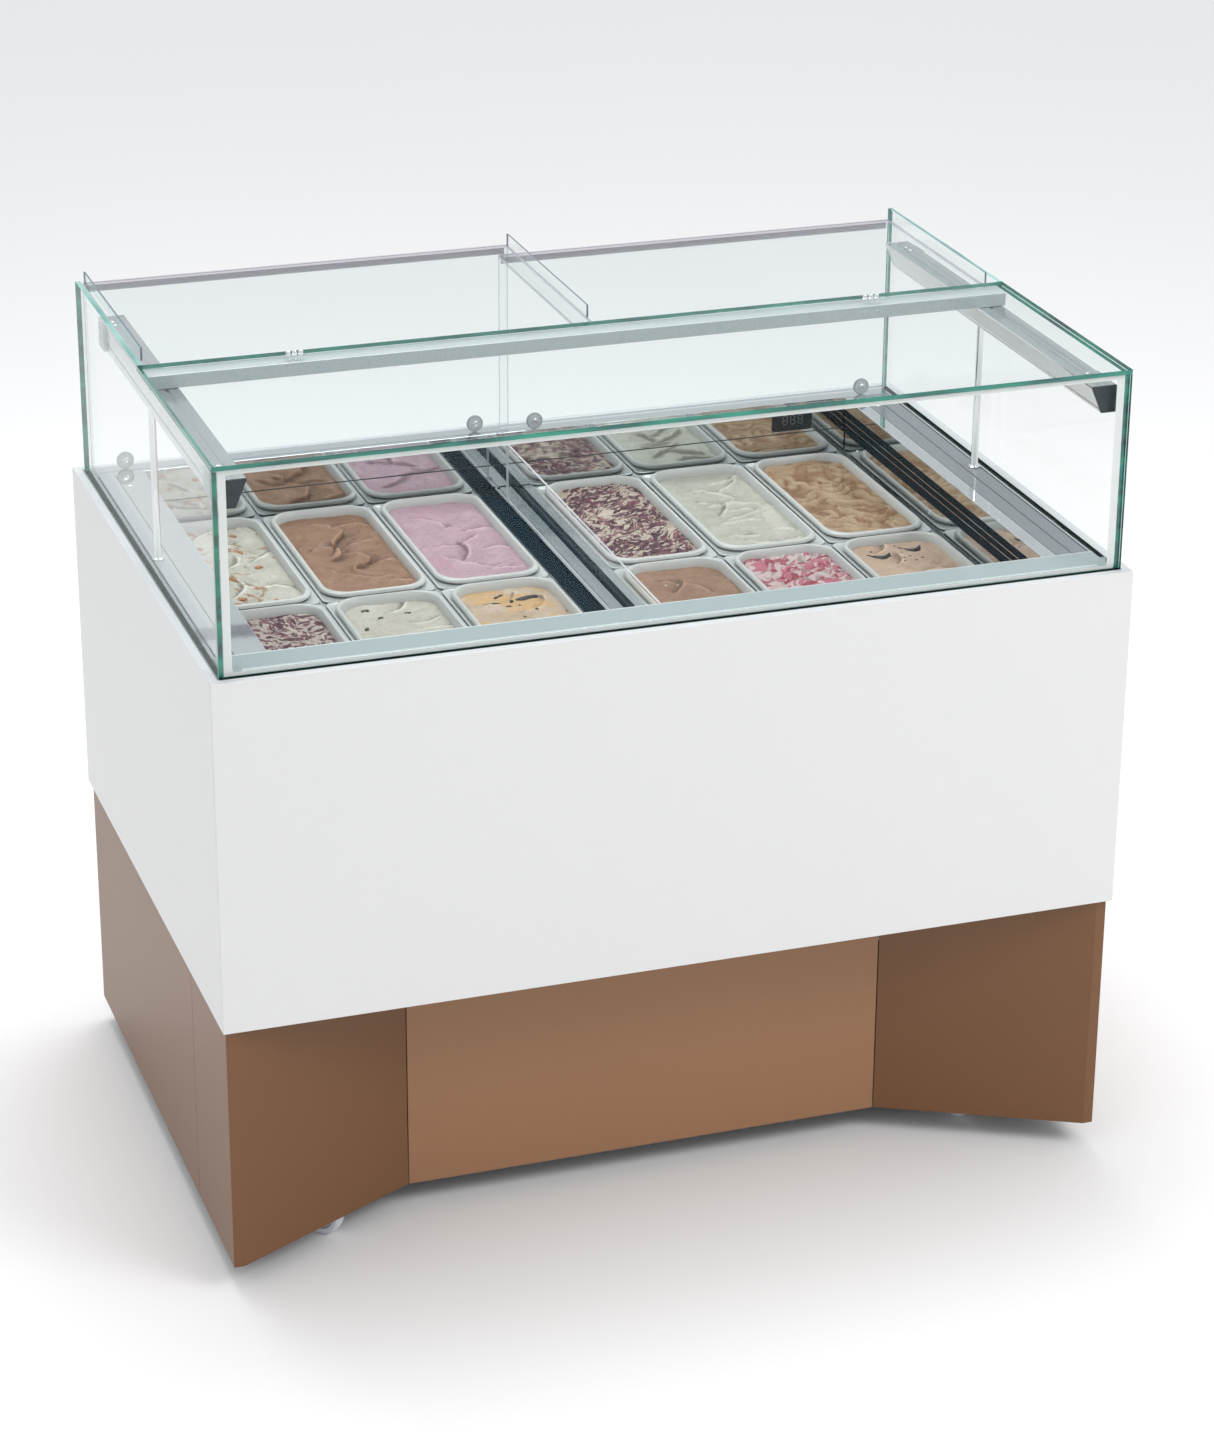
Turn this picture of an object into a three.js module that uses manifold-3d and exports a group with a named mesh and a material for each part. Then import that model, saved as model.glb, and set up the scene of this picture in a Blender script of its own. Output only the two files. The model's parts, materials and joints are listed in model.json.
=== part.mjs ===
// Ice cream dipping cabinet on casters: a glass-topped well with twelve pans over a chevron plinth.
// Millimetres, +Z up, front towards -Y. Origin: on the floor, under the middle of the cabinet.

import * as THREE from "three";
import { mergeVertices } from "three/addons/utils/BufferGeometryUtils.js";
import Module from "manifold-3d";

const wasm = await Module();
wasm.setup();

// ---------- driving dimensions ----------

const WIDTH = 1290;
const DEPTH = 860;
const PLINTH_BOTTOM = 38;
const BODY_BOTTOM = 400;
const BODY_TOP = 900;
const GLASS_TOP = 1186;
const RIM_TOP = 810;
const PAN_PITCH_X = 168;
const PAN_PITCH_Y = 362;
const BRIDGE_WIDTH = 88;
const GAP = 0.5;

const HALF_W = WIDTH / 2;
const HALF_D = DEPTH / 2;
const SKIN = 2;

// plinth
const PLINTH_X = HALF_W - 5;
const PLINTH_Y = HALF_D - 10;
const PLINTH_SEAM_Y = -219;
const FRONT_STRIP = 15;
const CHEVRON_X = 353;
const CHEVRON_Y = -279;
const PLINTH_TOP = 403.5;
const SLOT_ROWS = 9;
const SLOT_FIRST_Z = 110;
const SLOT_PITCH = 28;
const SLOT_LENGTH = 300;
const SLOT_HEIGHT = 12;
const INLET_R = 7.5;

// casters
const WHEEL_R = 30;
const WHEEL_W = 22;
const TRAIL = 18;
const AXLE_R = 4;
const FORK_TOP = 76.5;
const CASTER_X = 497;
const CASTER_FRONT_Y = -290;
const CASTER_REAR_Y = 330;

// base frame
const TUBE = 30;
const BEAM_Z = 80;
const RING_Z = 404;

// well and deck
const TANK_X = 636;
const TANK_Y = 421;
const TANK_BOTTOM = RING_Z + TUBE + GAP;
const WELL_X = 556;
const WELL_FRONT = -346;
const WELL_REAR = 383.5;
const WELL_BOTTOM = 600;
const DECK_SHEET = 4;
const FLANGE = 13;
const OPENING_X = 549;
const OPENING_FRONT = -345;
const OPENING_REAR = 382;
const STRIP_BOTTOM = 812;
const STRIP_TOP = 895;
const STRIP_REAR = 380.5;
const DISPLAY = { left: 432, right: 497, bottom: 854, top: 890 };

// pans
const PAN_FRONT_Y = OPENING_FRONT + 1;
const RIM_SHEET = 2;
const PAN_DEPTH = 120;
const TUB_RIM = 8;
const PAN_HALF_WIDTH = 82.5;
const PAN_HALF_LENGTH = 180;

// glass case
const GLASS_X = HALF_W - 14;
const GLASS_FRONT = -HALF_D + 12;
const SIDE_GLASS = 8;
const THIN_GLASS = 6;
const SIDE_GLASS_REAR = 410;
const TOP_GLASS_REAR = 6;
const LAMP_OUTER = 618;
const LAMP_INNER = 582;
const LAMP_TOP = 1160;
const LAMP_BOTTOM = 1122;
const LAMP_FRONT = -400;
const LAMP_REAR = 320;
const POST_X = 609;
const POST_Y = 25;
const POST_R = 5;

// doors
const DOOR_SHEET = 5;
const ROLLER_R = 12.5;
const ROLLER_W = 5;
const PIN_R = 3;
const ROLLER_Z = BODY_TOP + GAP + ROLLER_R;

// ---------- materials ----------

const material = (color, roughness, metalness, opacity = 1) =>
  new THREE.MeshStandardMaterial({ color, roughness, metalness, opacity, transparent: opacity < 1 });

const BROWN = material(0x7a563d, 0.45, 0.35);
const WHITE = material(0xe9e9e8, 0.4, 0.0);
const STEEL = material(0xb9bdc0, 0.25, 1.0);
const ALUMINIUM = material(0xc4c9ca, 0.35, 0.9);
const DARK = material(0x10181d, 0.5, 0.2);
const FOAM = material(0xd9d6c8, 0.8, 0.0);
const FRAME_GREY = material(0x5b6064, 0.5, 0.4);
const GLASS = material(0xdff3ee, 0.05, 0.0, 0.35);
const ACRYLIC = material(0xf2f6f8, 0.1, 0.0, 0.35);
const RUBBER = material(0xbcc3c9, 0.7, 0.0);
const FILLED_PAN = material(0xf0e9dc, 0.6, 0.0);

// ---------- geometry helpers ----------

const box = (x0, x1, y0, y1, z0, z1) =>
  new THREE.BoxGeometry(x1 - x0, y1 - y0, z1 - z0).translate((x0 + x1) / 2, (y0 + y1) / 2, (z0 + z1) / 2);

const AXES = {
  x: new THREE.Matrix4().makeBasis(
    new THREE.Vector3(0, 1, 0),
    new THREE.Vector3(0, 0, 1),
    new THREE.Vector3(1, 0, 0),
  ),
  y: new THREE.Matrix4().makeBasis(
    new THREE.Vector3(1, 0, 0),
    new THREE.Vector3(0, 0, 1),
    new THREE.Vector3(0, -1, 0),
  ),
  z: new THREE.Matrix4(),
};

// Extrudes an outline along an axis: (y, z) points along x, (x, z) points along y, (x, y) points along z.
function extrude(axis, points, from, to) {
  const corners = (list) => new THREE.Shape(list.map(([a, b]) => new THREE.Vector2(a, b)));
  const shape = Array.isArray(points) ? corners(points) : points;
  const geometry = new THREE.ExtrudeGeometry(shape, {
    depth: to - from,
    bevelEnabled: false,
    curveSegments: 3,
  });
  geometry.applyMatrix4(AXES[axis]);
  const shift = { x: [from, 0, 0], y: [0, to, 0], z: [0, 0, from] }[axis];
  return geometry.translate(...shift);
}

function roundedRect(x0, x1, y0, y1, r) {
  const s = new THREE.Shape();
  s.absarc(x1 - r, y0 + r, r, -Math.PI / 2, 0);
  s.absarc(x1 - r, y1 - r, r, 0, Math.PI / 2);
  s.absarc(x0 + r, y1 - r, r, Math.PI / 2, Math.PI);
  s.absarc(x0 + r, y0 + r, r, Math.PI, Math.PI * 1.5);
  return s;
}

// A cylinder along an axis; at is its centre.
function cylinder(axis, r, length, at, segments = 24) {
  const geometry = new THREE.CylinderGeometry(r, r, length, segments);
  if (axis === "x") geometry.rotateZ(-Math.PI / 2);
  if (axis === "z") geometry.rotateX(Math.PI / 2);
  return geometry.translate(...at);
}

function solid(geometry) {
  const bare = geometry.clone();
  bare.deleteAttribute("normal");
  bare.deleteAttribute("uv");
  const merged = mergeVertices(bare, 1e-3);
  return new wasm.Manifold(
    new wasm.Mesh({
      numProp: 3,
      vertProperties: new Float32Array(merged.attributes.position.array),
      triVerts: new Uint32Array(merged.index.array),
    }),
  );
}

function geometryOf(manifold) {
  const mesh = manifold.getMesh();
  const geometry = new THREE.BufferGeometry();
  geometry.setAttribute("position", new THREE.BufferAttribute(new Float32Array(mesh.vertProperties), 3));
  geometry.setIndex(new THREE.BufferAttribute(new Uint32Array(mesh.triVerts), 1));
  const flat = geometry.toNonIndexed();
  flat.computeVertexNormals();
  return flat;
}

function join(added, cut = []) {
  let result = solid(added[0]);
  for (const piece of added.slice(1)) result = result.add(solid(piece));
  for (const piece of cut) result = result.subtract(solid(piece));
  return geometryOf(result.asOriginal().simplify(0.01));
}

const mirrorX = (points) => points.map(([x, y]) => [-x, y]);

// The outline of a folded sheet: an open path and the same path moved to its left by the thickness.
function sheetOutline(path, thickness) {
  const normals = path.slice(1).map(([x, y], i) => {
    const dx = x - path[i][0];
    const dy = y - path[i][1];
    const length = Math.hypot(dx, dy);
    return [-dy / length, dx / length];
  });
  const inner = path.map(([x, y], i) => {
    const a = normals[Math.max(i - 1, 0)];
    const b = normals[Math.min(i, normals.length - 1)];
    const share = thickness / (1 + a[0] * b[0] + a[1] * b[1]);
    return [x + (a[0] + b[0]) * share, y + (a[1] + b[1]) * share];
  });
  return [...path, ...inner.reverse()];
}

// ---------- the assembly ----------

const cabinet = new THREE.Group();

function add(name, geometry, look, group = cabinet) {
  const mesh = new THREE.Mesh(geometry, look);
  mesh.name = name;
  group.add(mesh);
  return mesh;
}

function buildPlinth() {
  const corner = sheetOutline(
    [
      [-PLINTH_X, PLINTH_SEAM_Y - GAP],
      [-PLINTH_X, -PLINTH_Y],
      [-PLINTH_X + FRONT_STRIP, -PLINTH_Y],
      [-CHEVRON_X - GAP, CHEVRON_Y],
    ],
    SKIN,
  );
  add("plinth_corner_left", extrude("z", corner, PLINTH_BOTTOM, PLINTH_TOP), BROWN);
  add("plinth_corner_right", extrude("z", mirrorX(corner), PLINTH_BOTTOM, PLINTH_TOP), BROWN);
  const side = [-PLINTH_X, -PLINTH_X + SKIN, PLINTH_SEAM_Y, PLINTH_Y, PLINTH_BOTTOM, PLINTH_TOP];
  add("plinth_side_left", box(...side), BROWN);
  add("plinth_side_right", box(PLINTH_X - SKIN, PLINTH_X, ...side.slice(2)), BROWN);
  add(
    "plinth_centre_panel",
    box(-CHEVRON_X + GAP, CHEVRON_X - GAP, CHEVRON_Y, CHEVRON_Y + SKIN, PLINTH_BOTTOM, PLINTH_TOP),
    BROWN,
  );
  buildGrille();
}

function buildGrille() {
  const edge = PLINTH_X - SKIN - GAP;
  const slots = [];
  for (const x of [-330, 30]) {
    for (let row = 0; row < SLOT_ROWS; row++) {
      const z = SLOT_FIRST_Z + row * SLOT_PITCH;
      slots.push(box(x, x + SLOT_LENGTH, PLINTH_Y - 10, PLINTH_Y + 10, z, z + SLOT_HEIGHT));
    }
  }
  const plate = box(-edge, edge, PLINTH_Y - SKIN, PLINTH_Y, PLINTH_BOTTOM, PLINTH_TOP);
  const inlet = [-500, PLINTH_Y, 130];
  const hole = cylinder("y", INLET_R + GAP, 20, inlet, 16);
  add("plinth_rear_grille", join([plate], [...slots, hole]), BROWN);
  const collar = cylinder("y", 12, 6, [inlet[0], PLINTH_Y + GAP + 3, inlet[2]], 16);
  const bore = cylinder("y", 4, 30, inlet, 16);
  add("power_inlet", join([cylinder("y", INLET_R, 20, inlet, 16), collar], [bore]), DARK);
}

function buildBaseFrame() {
  const inner = CASTER_X - TUBE / 2;
  const outer = CASTER_X + TUBE / 2;
  const rearBeam = 375;
  const frontBeam = -250;
  const middleBeam = 40;
  const ringX = 635;
  const ringY = 420;
  const top = BEAM_Z + TUBE;
  const tubes = [];
  for (const side of [-1, 1]) {
    const [x0, x1] = side < 0 ? [-outer, -inner] : [inner, outer];
    tubes.push(box(x0, x1, CASTER_FRONT_Y - 32, rearBeam + TUBE, BEAM_Z, top));
    tubes.push(box(x0, x1, -ringY + 1, ringY - 1, RING_Z, RING_Z + TUBE));
    tubes.push(box(x0, x1, frontBeam, frontBeam + TUBE, top - 1, RING_Z + 1));
    tubes.push(box(x0, x1, rearBeam, rearBeam + TUBE, top - 1, RING_Z + 1));
    const [r0, r1] = side < 0 ? [-ringX, -ringX + TUBE] : [ringX - TUBE, ringX];
    tubes.push(box(r0, r1, -ringY, ringY, RING_Z, RING_Z + TUBE));
    for (const y of [CASTER_FRONT_Y, CASTER_REAR_Y]) {
      const x = side * CASTER_X;
      tubes.push(box(x - TUBE, x + TUBE, y - TUBE, y + TUBE, BEAM_Z - 3, BEAM_Z + 1));
    }
  }
  for (const y of [frontBeam, middleBeam, rearBeam]) {
    tubes.push(box(-outer, outer, y, y + TUBE, BEAM_Z, top));
  }
  tubes.push(box(-outer, outer, frontBeam, rearBeam + TUBE, top - 1, top + SKIN));
  tubes.push(box(-ringX, ringX, -ringY, -ringY + TUBE, RING_Z, RING_Z + TUBE));
  tubes.push(box(-ringX, ringX, ringY - TUBE, ringY, RING_Z, RING_Z + TUBE));
  add("base_frame", join(tubes), FRAME_GREY);
}

// One swivel caster, built round its swivel axis with the wheel trailing towards local +X.
function buildCaster(name, x, y, degrees) {
  const caster = new THREE.Group();
  caster.position.set(x, y, 0);
  caster.rotation.z = THREE.MathUtils.degToRad(degrees);
  const legInner = WHEEL_W / 2 + 1;
  const legOuter = legInner + 2.5;
  const crown = 66;
  const leg = [
    [-14, crown + 1],
    [TRAIL - 8, WHEEL_R - 4],
    [TRAIL - 4, WHEEL_R - 9],
    [TRAIL + 4, WHEEL_R - 9],
    [TRAIL + 8, WHEEL_R - 4],
    [TRAIL + 9, crown + 1],
  ];
  const fork = join([
    box(-14, TRAIL + 9, -legOuter, legOuter, crown, crown + 3),
    extrude("y", leg, legInner, legOuter),
    extrude("y", leg, -legOuter, -legInner),
    cylinder("z", 13, FORK_TOP - crown - 1, [0, 0, (FORK_TOP + crown + 1) / 2]),
    cylinder("y", AXLE_R, 2 * legOuter + 4, [TRAIL, 0, WHEEL_R], 16),
  ]);
  add(name + "_fork", fork, STEEL, caster);
  const half = WHEEL_W / 2;
  const bore = AXLE_R + 0.25;
  const profile = [
    [bore, -half],
    [WHEEL_R - 4, -half],
    [WHEEL_R - 1, -half + 2.5],
    [WHEEL_R, -half + 6],
    [WHEEL_R, half - 6],
    [WHEEL_R - 1, half - 2.5],
    [WHEEL_R - 4, half],
    [bore, half],
    [bore, -half],
  ];
  const wheel = new THREE.LatheGeometry(
    profile.map(([r, h]) => new THREE.Vector2(r, h)),
    24,
  );
  add(name + "_wheel", geometryOf(solid(wheel)).translate(TRAIL, 0, WHEEL_R), RUBBER, caster);
  cabinet.add(caster);
}

function buildRefrigeration() {
  const floor = BEAM_Z + TUBE + SKIN + GAP;
  const dome = [
    [0, 0],
    [92, 0],
    [92, 6],
    [78, 12],
    [80, 60],
    [84, 64],
    [84, 72],
    [80, 76],
    [77, 150],
    [60, 182],
    [0, 194],
  ];
  const compressor = new THREE.LatheGeometry(
    dome.map(([r, h]) => new THREE.Vector2(r, h)),
    20,
  );
  compressor.rotateX(Math.PI / 2).translate(-220, 160, floor);
  add("compressor", geometryOf(solid(compressor)), DARK);

  // The condenser: finned block, fan shroud in front of it, and the motor on an upright strap.
  const [fanX, fanY, fanZ] = [220, 312, floor + 130];
  const halfBlock = 145;
  const height = 260;
  const shaftR = 4;
  const slots = [];
  for (let i = 0; i < 9; i++) {
    const x = fanX - 133 + i * 30;
    slots.push(box(x, x + 22, 348, 392, floor + 10, floor + height - 10));
  }
  const block = join(
    [
      box(fanX - halfBlock, fanX + halfBlock, 330, 385, floor, floor + height),
      box(fanX - halfBlock, fanX + halfBlock, 296, 331, floor, floor + height),
      box(fanX - 6, fanX + 6, 256, 297, fanZ - 128, fanZ + 128),
      cylinder("y", 26, 42, [fanX, 273, fanZ], 20),
      cylinder("y", shaftR, 32, [fanX, 308, fanZ], 16),
    ],
    slots,
  );
  const ring = solid(cylinder("y", 118, 33, [fanX, fanY, fanZ], 32));
  const shaft = solid(cylinder("y", shaftR, 34, [fanX, fanY - 3, fanZ], 16));
  const cavity = ring.subtract(shaft);
  add("condenser", geometryOf(solid(block).subtract(cavity)), ALUMINIUM);

  const hub = cylinder("y", 24, 18, [fanX, fanY, fanZ], 20);
  const bore = cylinder("y", shaftR + 0.25, 40, [fanX, fanY, fanZ], 16);
  const blades = [];
  for (let i = 0; i < 5; i++) {
    const blade = new THREE.BoxGeometry(90, 3, 46);
    blade.rotateX(THREE.MathUtils.degToRad(20));
    blade.translate(62, 0, 0);
    blade.rotateY((i * 2 * Math.PI) / 5);
    blades.push(blade.translate(fanX, fanY, fanZ));
  }
  add("condenser_fan", join([hub, ...blades], [bore]), DARK);

  const fins = [];
  for (let x = -188; x < 190; x += 24) fins.push(box(x, x + 14, 50, 350, WELL_BOTTOM + 18, 700));
  const coil = box(-200, 200, 60, 340, WELL_BOTTOM + GAP, WELL_BOTTOM + 62);
  add("evaporator", join([coil], fins), ALUMINIUM);
}

function buildBody() {
  const top = BODY_TOP;
  const frontPath = [
    [-HALF_D + FLANGE - 1.5, top],
    [-HALF_D, top],
    [-HALF_D, BODY_BOTTOM],
  ];
  const front = sheetOutline(frontPath, SKIN);
  add("front_panel", extrude("x", front, -HALF_W, HALF_W), WHITE);

  const rear = extrude("x", mirrorX(front), -HALF_W, HALF_W);
  const cutout = box(-577, -543, HALF_D - 10, HALF_D + 10, 640, 662);
  add("rear_panel", join([rear], [cutout]), WHITE);

  const inset = HALF_D - SKIN - GAP;
  const flangeY = HALF_D - FLANGE + 1;
  for (const [name, side] of [
    ["left_side_panel", -1],
    ["right_side_panel", 1],
  ]) {
    const outer = side * HALF_W;
    const skin = outer - side * SKIN;
    const lip = outer - side * (FLANGE - 0.5);
    const sheet = box(Math.min(outer, skin), Math.max(outer, skin), -inset, inset, BODY_BOTTOM, top - 2.5);
    const flange = box(Math.min(outer, lip), Math.max(outer, lip), -flangeY, flangeY, top - 4, top);
    add(name, join([sheet, flange]), WHITE);
  }

  // The rocker is a shallow V seen from its end.
  const rocker = [
    [HALF_D - 7, 641],
    [HALF_D - 1, 643],
    [HALF_D - 2.5, 651],
    [HALF_D - 1, 659],
    [HALF_D - 7, 661],
  ];
  add("power_switch", extrude("x", rocker, -575, -545), DARK);
}

function buildWell() {
  const { left, right, bottom, top } = DISPLAY;
  const tank = join(
    [box(-TANK_X, TANK_X, -TANK_Y, TANK_Y, TANK_BOTTOM, BODY_TOP - DECK_SHEET - GAP)],
    [
      box(-WELL_X, WELL_X, WELL_FRONT, WELL_REAR, WELL_BOTTOM, BODY_TOP + 10),
      box(left - GAP, right + GAP, WELL_REAR - 1, WELL_REAR + 12, bottom - GAP, top + GAP),
    ],
  );
  add("insulated_tank", tank, FOAM);
  const display = roundedRect(left, right, bottom, top, 6);
  add("temperature_display", extrude("y", display, 381.5, WELL_REAR + 11), DARK);

  const deckX = HALF_W - FLANGE;
  const deckY = HALF_D - FLANGE + 1;
  const deck = join(
    [box(-deckX, deckX, -deckY, deckY, BODY_TOP - DECK_SHEET, BODY_TOP)],
    [box(-OPENING_X, OPENING_X, OPENING_FRONT, OPENING_REAR, BODY_TOP - 20, BODY_TOP + 20)],
  );
  add("top_deck", deck, ALUMINIUM);

  const strip = [
    [WELL_X - GAP, STRIP_BOTTOM],
    [WELL_X - GAP, STRIP_TOP],
    [551, STRIP_TOP],
    [551, 875],
    [554, 875],
    [554, 869],
    [550, 869],
    [550, 857],
    [554, 857],
    [554, 842],
    [552, 842],
    [552, STRIP_BOTTOM],
  ];
  add("right_wall_strip", extrude("y", strip, WELL_FRONT + GAP, STRIP_REAR), STEEL);
  add("left_wall_strip", extrude("y", mirrorX(strip), WELL_FRONT + GAP, STRIP_REAR), STEEL);
}

function buildPanFrame() {
  const z0 = RIM_TOP - 20;
  const z1 = RIM_TOP - RIM_SHEET - GAP;
  const half = BRIDGE_WIDTH / 2;
  const rail = 6;
  const edge = WELL_X - GAP;
  const [front, rear] = [WELL_FRONT + GAP, WELL_REAR - GAP];
  const middle = PAN_FRONT_Y + PAN_PITCH_Y;
  const columns = [[rail - half, half - rail]];
  for (const side of [-1, 1]) {
    for (let i = 0; i < 3; i++) {
      const from = half + i * PAN_PITCH_X + rail;
      const to = Math.min(from + PAN_PITCH_X - 2 * rail, edge - 15);
      columns.push(side > 0 ? [from, to] : [-to, -from]);
    }
  }
  const cells = columns.flatMap(([x0, x1]) => [
    box(x0, x1, PAN_FRONT_Y + 5, middle - rail, z0 - 5, z1 + 5),
    box(x0, x1, middle + rail, rear - 8, z0 - 5, z1 + 5),
  ]);
  const legs = [];
  for (const x of [-212, 212]) {
    for (const y of [front + 5, middle, rear - 5]) {
      legs.push(box(x - 4, x + 4, y - 4, y + 4, WELL_BOTTOM + GAP, z0 + 1));
    }
  }
  add("pan_frame", join([box(-edge, edge, front, rear, z0, z1), ...legs], cells), STEEL);
}

// The bridge between the two groups of pans is a stepped profile; the divider stands in its groove.
function buildBridge() {
  const base = RIM_TOP - RIM_SHEET;
  const [low, ledge, high] = [RIM_TOP, RIM_TOP + 3, RIM_TOP + 5];
  const groove = high - 3;
  const profile = [
    [-43.5, base],
    [43.5, base],
    [43.5, ledge],
    [29, ledge],
    [29, low],
    [10, low],
    [10, high],
    [-7.5, high],
    [-7.5, groove],
    [-12.5, groove],
    [-12.5, high],
    [-16, high],
    [-16, low],
    [-43.5, low],
  ];
  add("centre_bridge", extrude("y", profile, WELL_FRONT + GAP, STRIP_REAR), STEEL);
  add("centre_divider", box(-12, -8, -340, 334, groove + GAP, BODY_TOP), ACRYLIC);
}

function buildPans() {
  const columns = [-3, -2, -1, 1, 2, 3];
  for (const [row, start] of [
    ["front", PAN_FRONT_Y],
    ["rear", PAN_FRONT_Y + PAN_PITCH_Y],
  ]) {
    columns.forEach((column, i) => {
      const side = Math.sign(column);
      const x = side * (BRIDGE_WIDTH / 2 + (Math.abs(column) - 0.5) * PAN_PITCH_X);
      const y = start + PAN_PITCH_Y / 2;
      const outline = (inset, r) => {
        const halfX = PAN_HALF_WIDTH - inset;
        const halfY = PAN_HALF_LENGTH - inset;
        return roundedRect(x - halfX, x + halfX, y - halfY, y + halfY, r);
      };
      const bottom = RIM_TOP - PAN_DEPTH;
      const pan = join([
        extrude("z", outline(0, 10), RIM_TOP - RIM_SHEET, RIM_TOP),
        extrude("z", outline(9, 32), bottom, RIM_TOP - 1),
        extrude("z", outline(6.5, 36), RIM_TOP - 1, RIM_TOP + TUB_RIM),
      ]);
      add("pan_" + row + "_" + (i + 1), pan, FILLED_PAN);
    });
  }
}

function buildGlassCase() {
  const foot = BODY_TOP + GAP;
  const underTop = GLASS_TOP - THIN_GLASS - GAP;
  const front = GLASS_FRONT;
  add("front_glass", box(-GLASS_X, GLASS_X, front, front + THIN_GLASS, foot, underTop), GLASS);
  add("top_glass", box(-GLASS_X, GLASS_X, front, TOP_GLASS_REAR, GLASS_TOP - THIN_GLASS, GLASS_TOP), GLASS);

  const sideFront = front + THIN_GLASS + GAP;
  const side = [
    [sideFront, foot],
    [SIDE_GLASS_REAR, foot],
    [SIDE_GLASS_REAR, GLASS_TOP],
    [TOP_GLASS_REAR + GAP, GLASS_TOP],
    [TOP_GLASS_REAR + GAP, underTop],
    [sideFront, underTop],
  ];
  add("left_side_glass", extrude("x", side, -GLASS_X, -GLASS_X + SIDE_GLASS), GLASS);
  add("right_side_glass", extrude("x", side, GLASS_X - SIDE_GLASS, GLASS_X), GLASS);

  const bar = LAMP_TOP + GAP;
  const crossbar = [
    [-27, bar],
    [36, bar],
    [36, bar + 7],
    [12, bar + 7],
    [12, bar + 17],
    [6.5, bar + 17],
    [6.5, underTop],
    [-27, underTop],
  ];
  const barX = GLASS_X - SIDE_GLASS - GAP;
  add("crossbar", extrude("x", crossbar, -barX, barX), ALUMINIUM);

  const lamp = [
    [LAMP_OUTER, LAMP_BOTTOM],
    [LAMP_OUTER, LAMP_TOP],
    [LAMP_INNER, LAMP_TOP],
    [LAMP_INNER, LAMP_TOP - 3],
    [LAMP_INNER + 15, LAMP_BOTTOM],
  ];
  add("right_light_profile", extrude("y", lamp, LAMP_FRONT, LAMP_REAR), ALUMINIUM);
  add("left_light_profile", extrude("y", mirrorX(lamp), LAMP_FRONT, LAMP_REAR), ALUMINIUM);

  for (const [name, x] of [
    ["left_post", -POST_X],
    ["right_post", POST_X],
  ]) {
    const top = LAMP_BOTTOM - GAP;
    const post = join([
      cylinder("z", POST_R, top - foot, [x, POST_Y, (top + foot) / 2], 16),
      cylinder("z", 9, 3, [x, POST_Y, foot + 1.5], 16),
    ]);
    add(name, post, STEEL);
  }
}

// An L-shaped door: a top plate, a rear plate down to the rollers, upstand flanges and two roller pins.
function doorGeometry({ x0, x1, top, rear, flanges, flangeHeight, rollers }) {
  const front = 12.5;
  const pieces = [
    box(x0, x1, front, rear, top - DOOR_SHEET, top),
    box(x0, x1, rear - DOOR_SHEET, rear, BODY_TOP + 5, top),
  ];
  for (const x of flanges) pieces.push(box(x, x + 3, 32, rear - 8, top - 1, top + flangeHeight));
  for (const x of rollers) {
    const pin = [x, rear - DOOR_SHEET - (ROLLER_W + 1) / 2, ROLLER_Z];
    pieces.push(cylinder("y", PIN_R, ROLLER_W + 3, pin, 16));
  }
  return join(pieces);
}

function buildDoors() {
  const doors = [
    {
      name: "left_door",
      x0: -620,
      x1: 14,
      top: 1183,
      rear: 409,
      flanges: [-620, 11],
      flangeHeight: 19,
      rollers: { outer: -572, inner: -40 },
    },
    {
      name: "right_door",
      x0: -4,
      x1: 618,
      top: 1173,
      rear: 394,
      flanges: [615],
      flangeHeight: 20,
      rollers: { inner: 49, outer: 578 },
    },
  ];
  for (const door of doors) {
    const places = Object.entries(door.rollers);
    add(door.name, doorGeometry({ ...door, rollers: places.map(([, x]) => x) }), ACRYLIC);
    const y = door.rear - DOOR_SHEET - GAP - ROLLER_W / 2;
    for (const [place, x] of places) {
      const roller = join(
        [cylinder("y", ROLLER_R, ROLLER_W, [x, y, ROLLER_Z], 32)],
        [cylinder("y", PIN_R + 0.25, 20, [x, y, ROLLER_Z], 16)],
      );
      add(door.name + "_roller_" + place, roller, ACRYLIC);
    }
  }
}

buildPlinth();
buildBaseFrame();
buildCaster("front_left_caster", -CASTER_X, CASTER_FRONT_Y, -45);
buildCaster("front_right_caster", CASTER_X, CASTER_FRONT_Y, 110);
buildCaster("rear_left_caster", -CASTER_X, CASTER_REAR_Y, 20);
buildCaster("rear_right_caster", CASTER_X, CASTER_REAR_Y, 160);
buildRefrigeration();
buildBody();
buildWell();
buildPanFrame();
buildBridge();
buildPans();
buildGlassCase();
buildDoors();

export default cabinet;
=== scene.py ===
"""Ice cream dipping cabinet: the looks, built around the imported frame."""

import json
import math
import random

import bmesh
import bpy
import numpy as np
from mathutils import Matrix, Vector, noise


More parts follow.
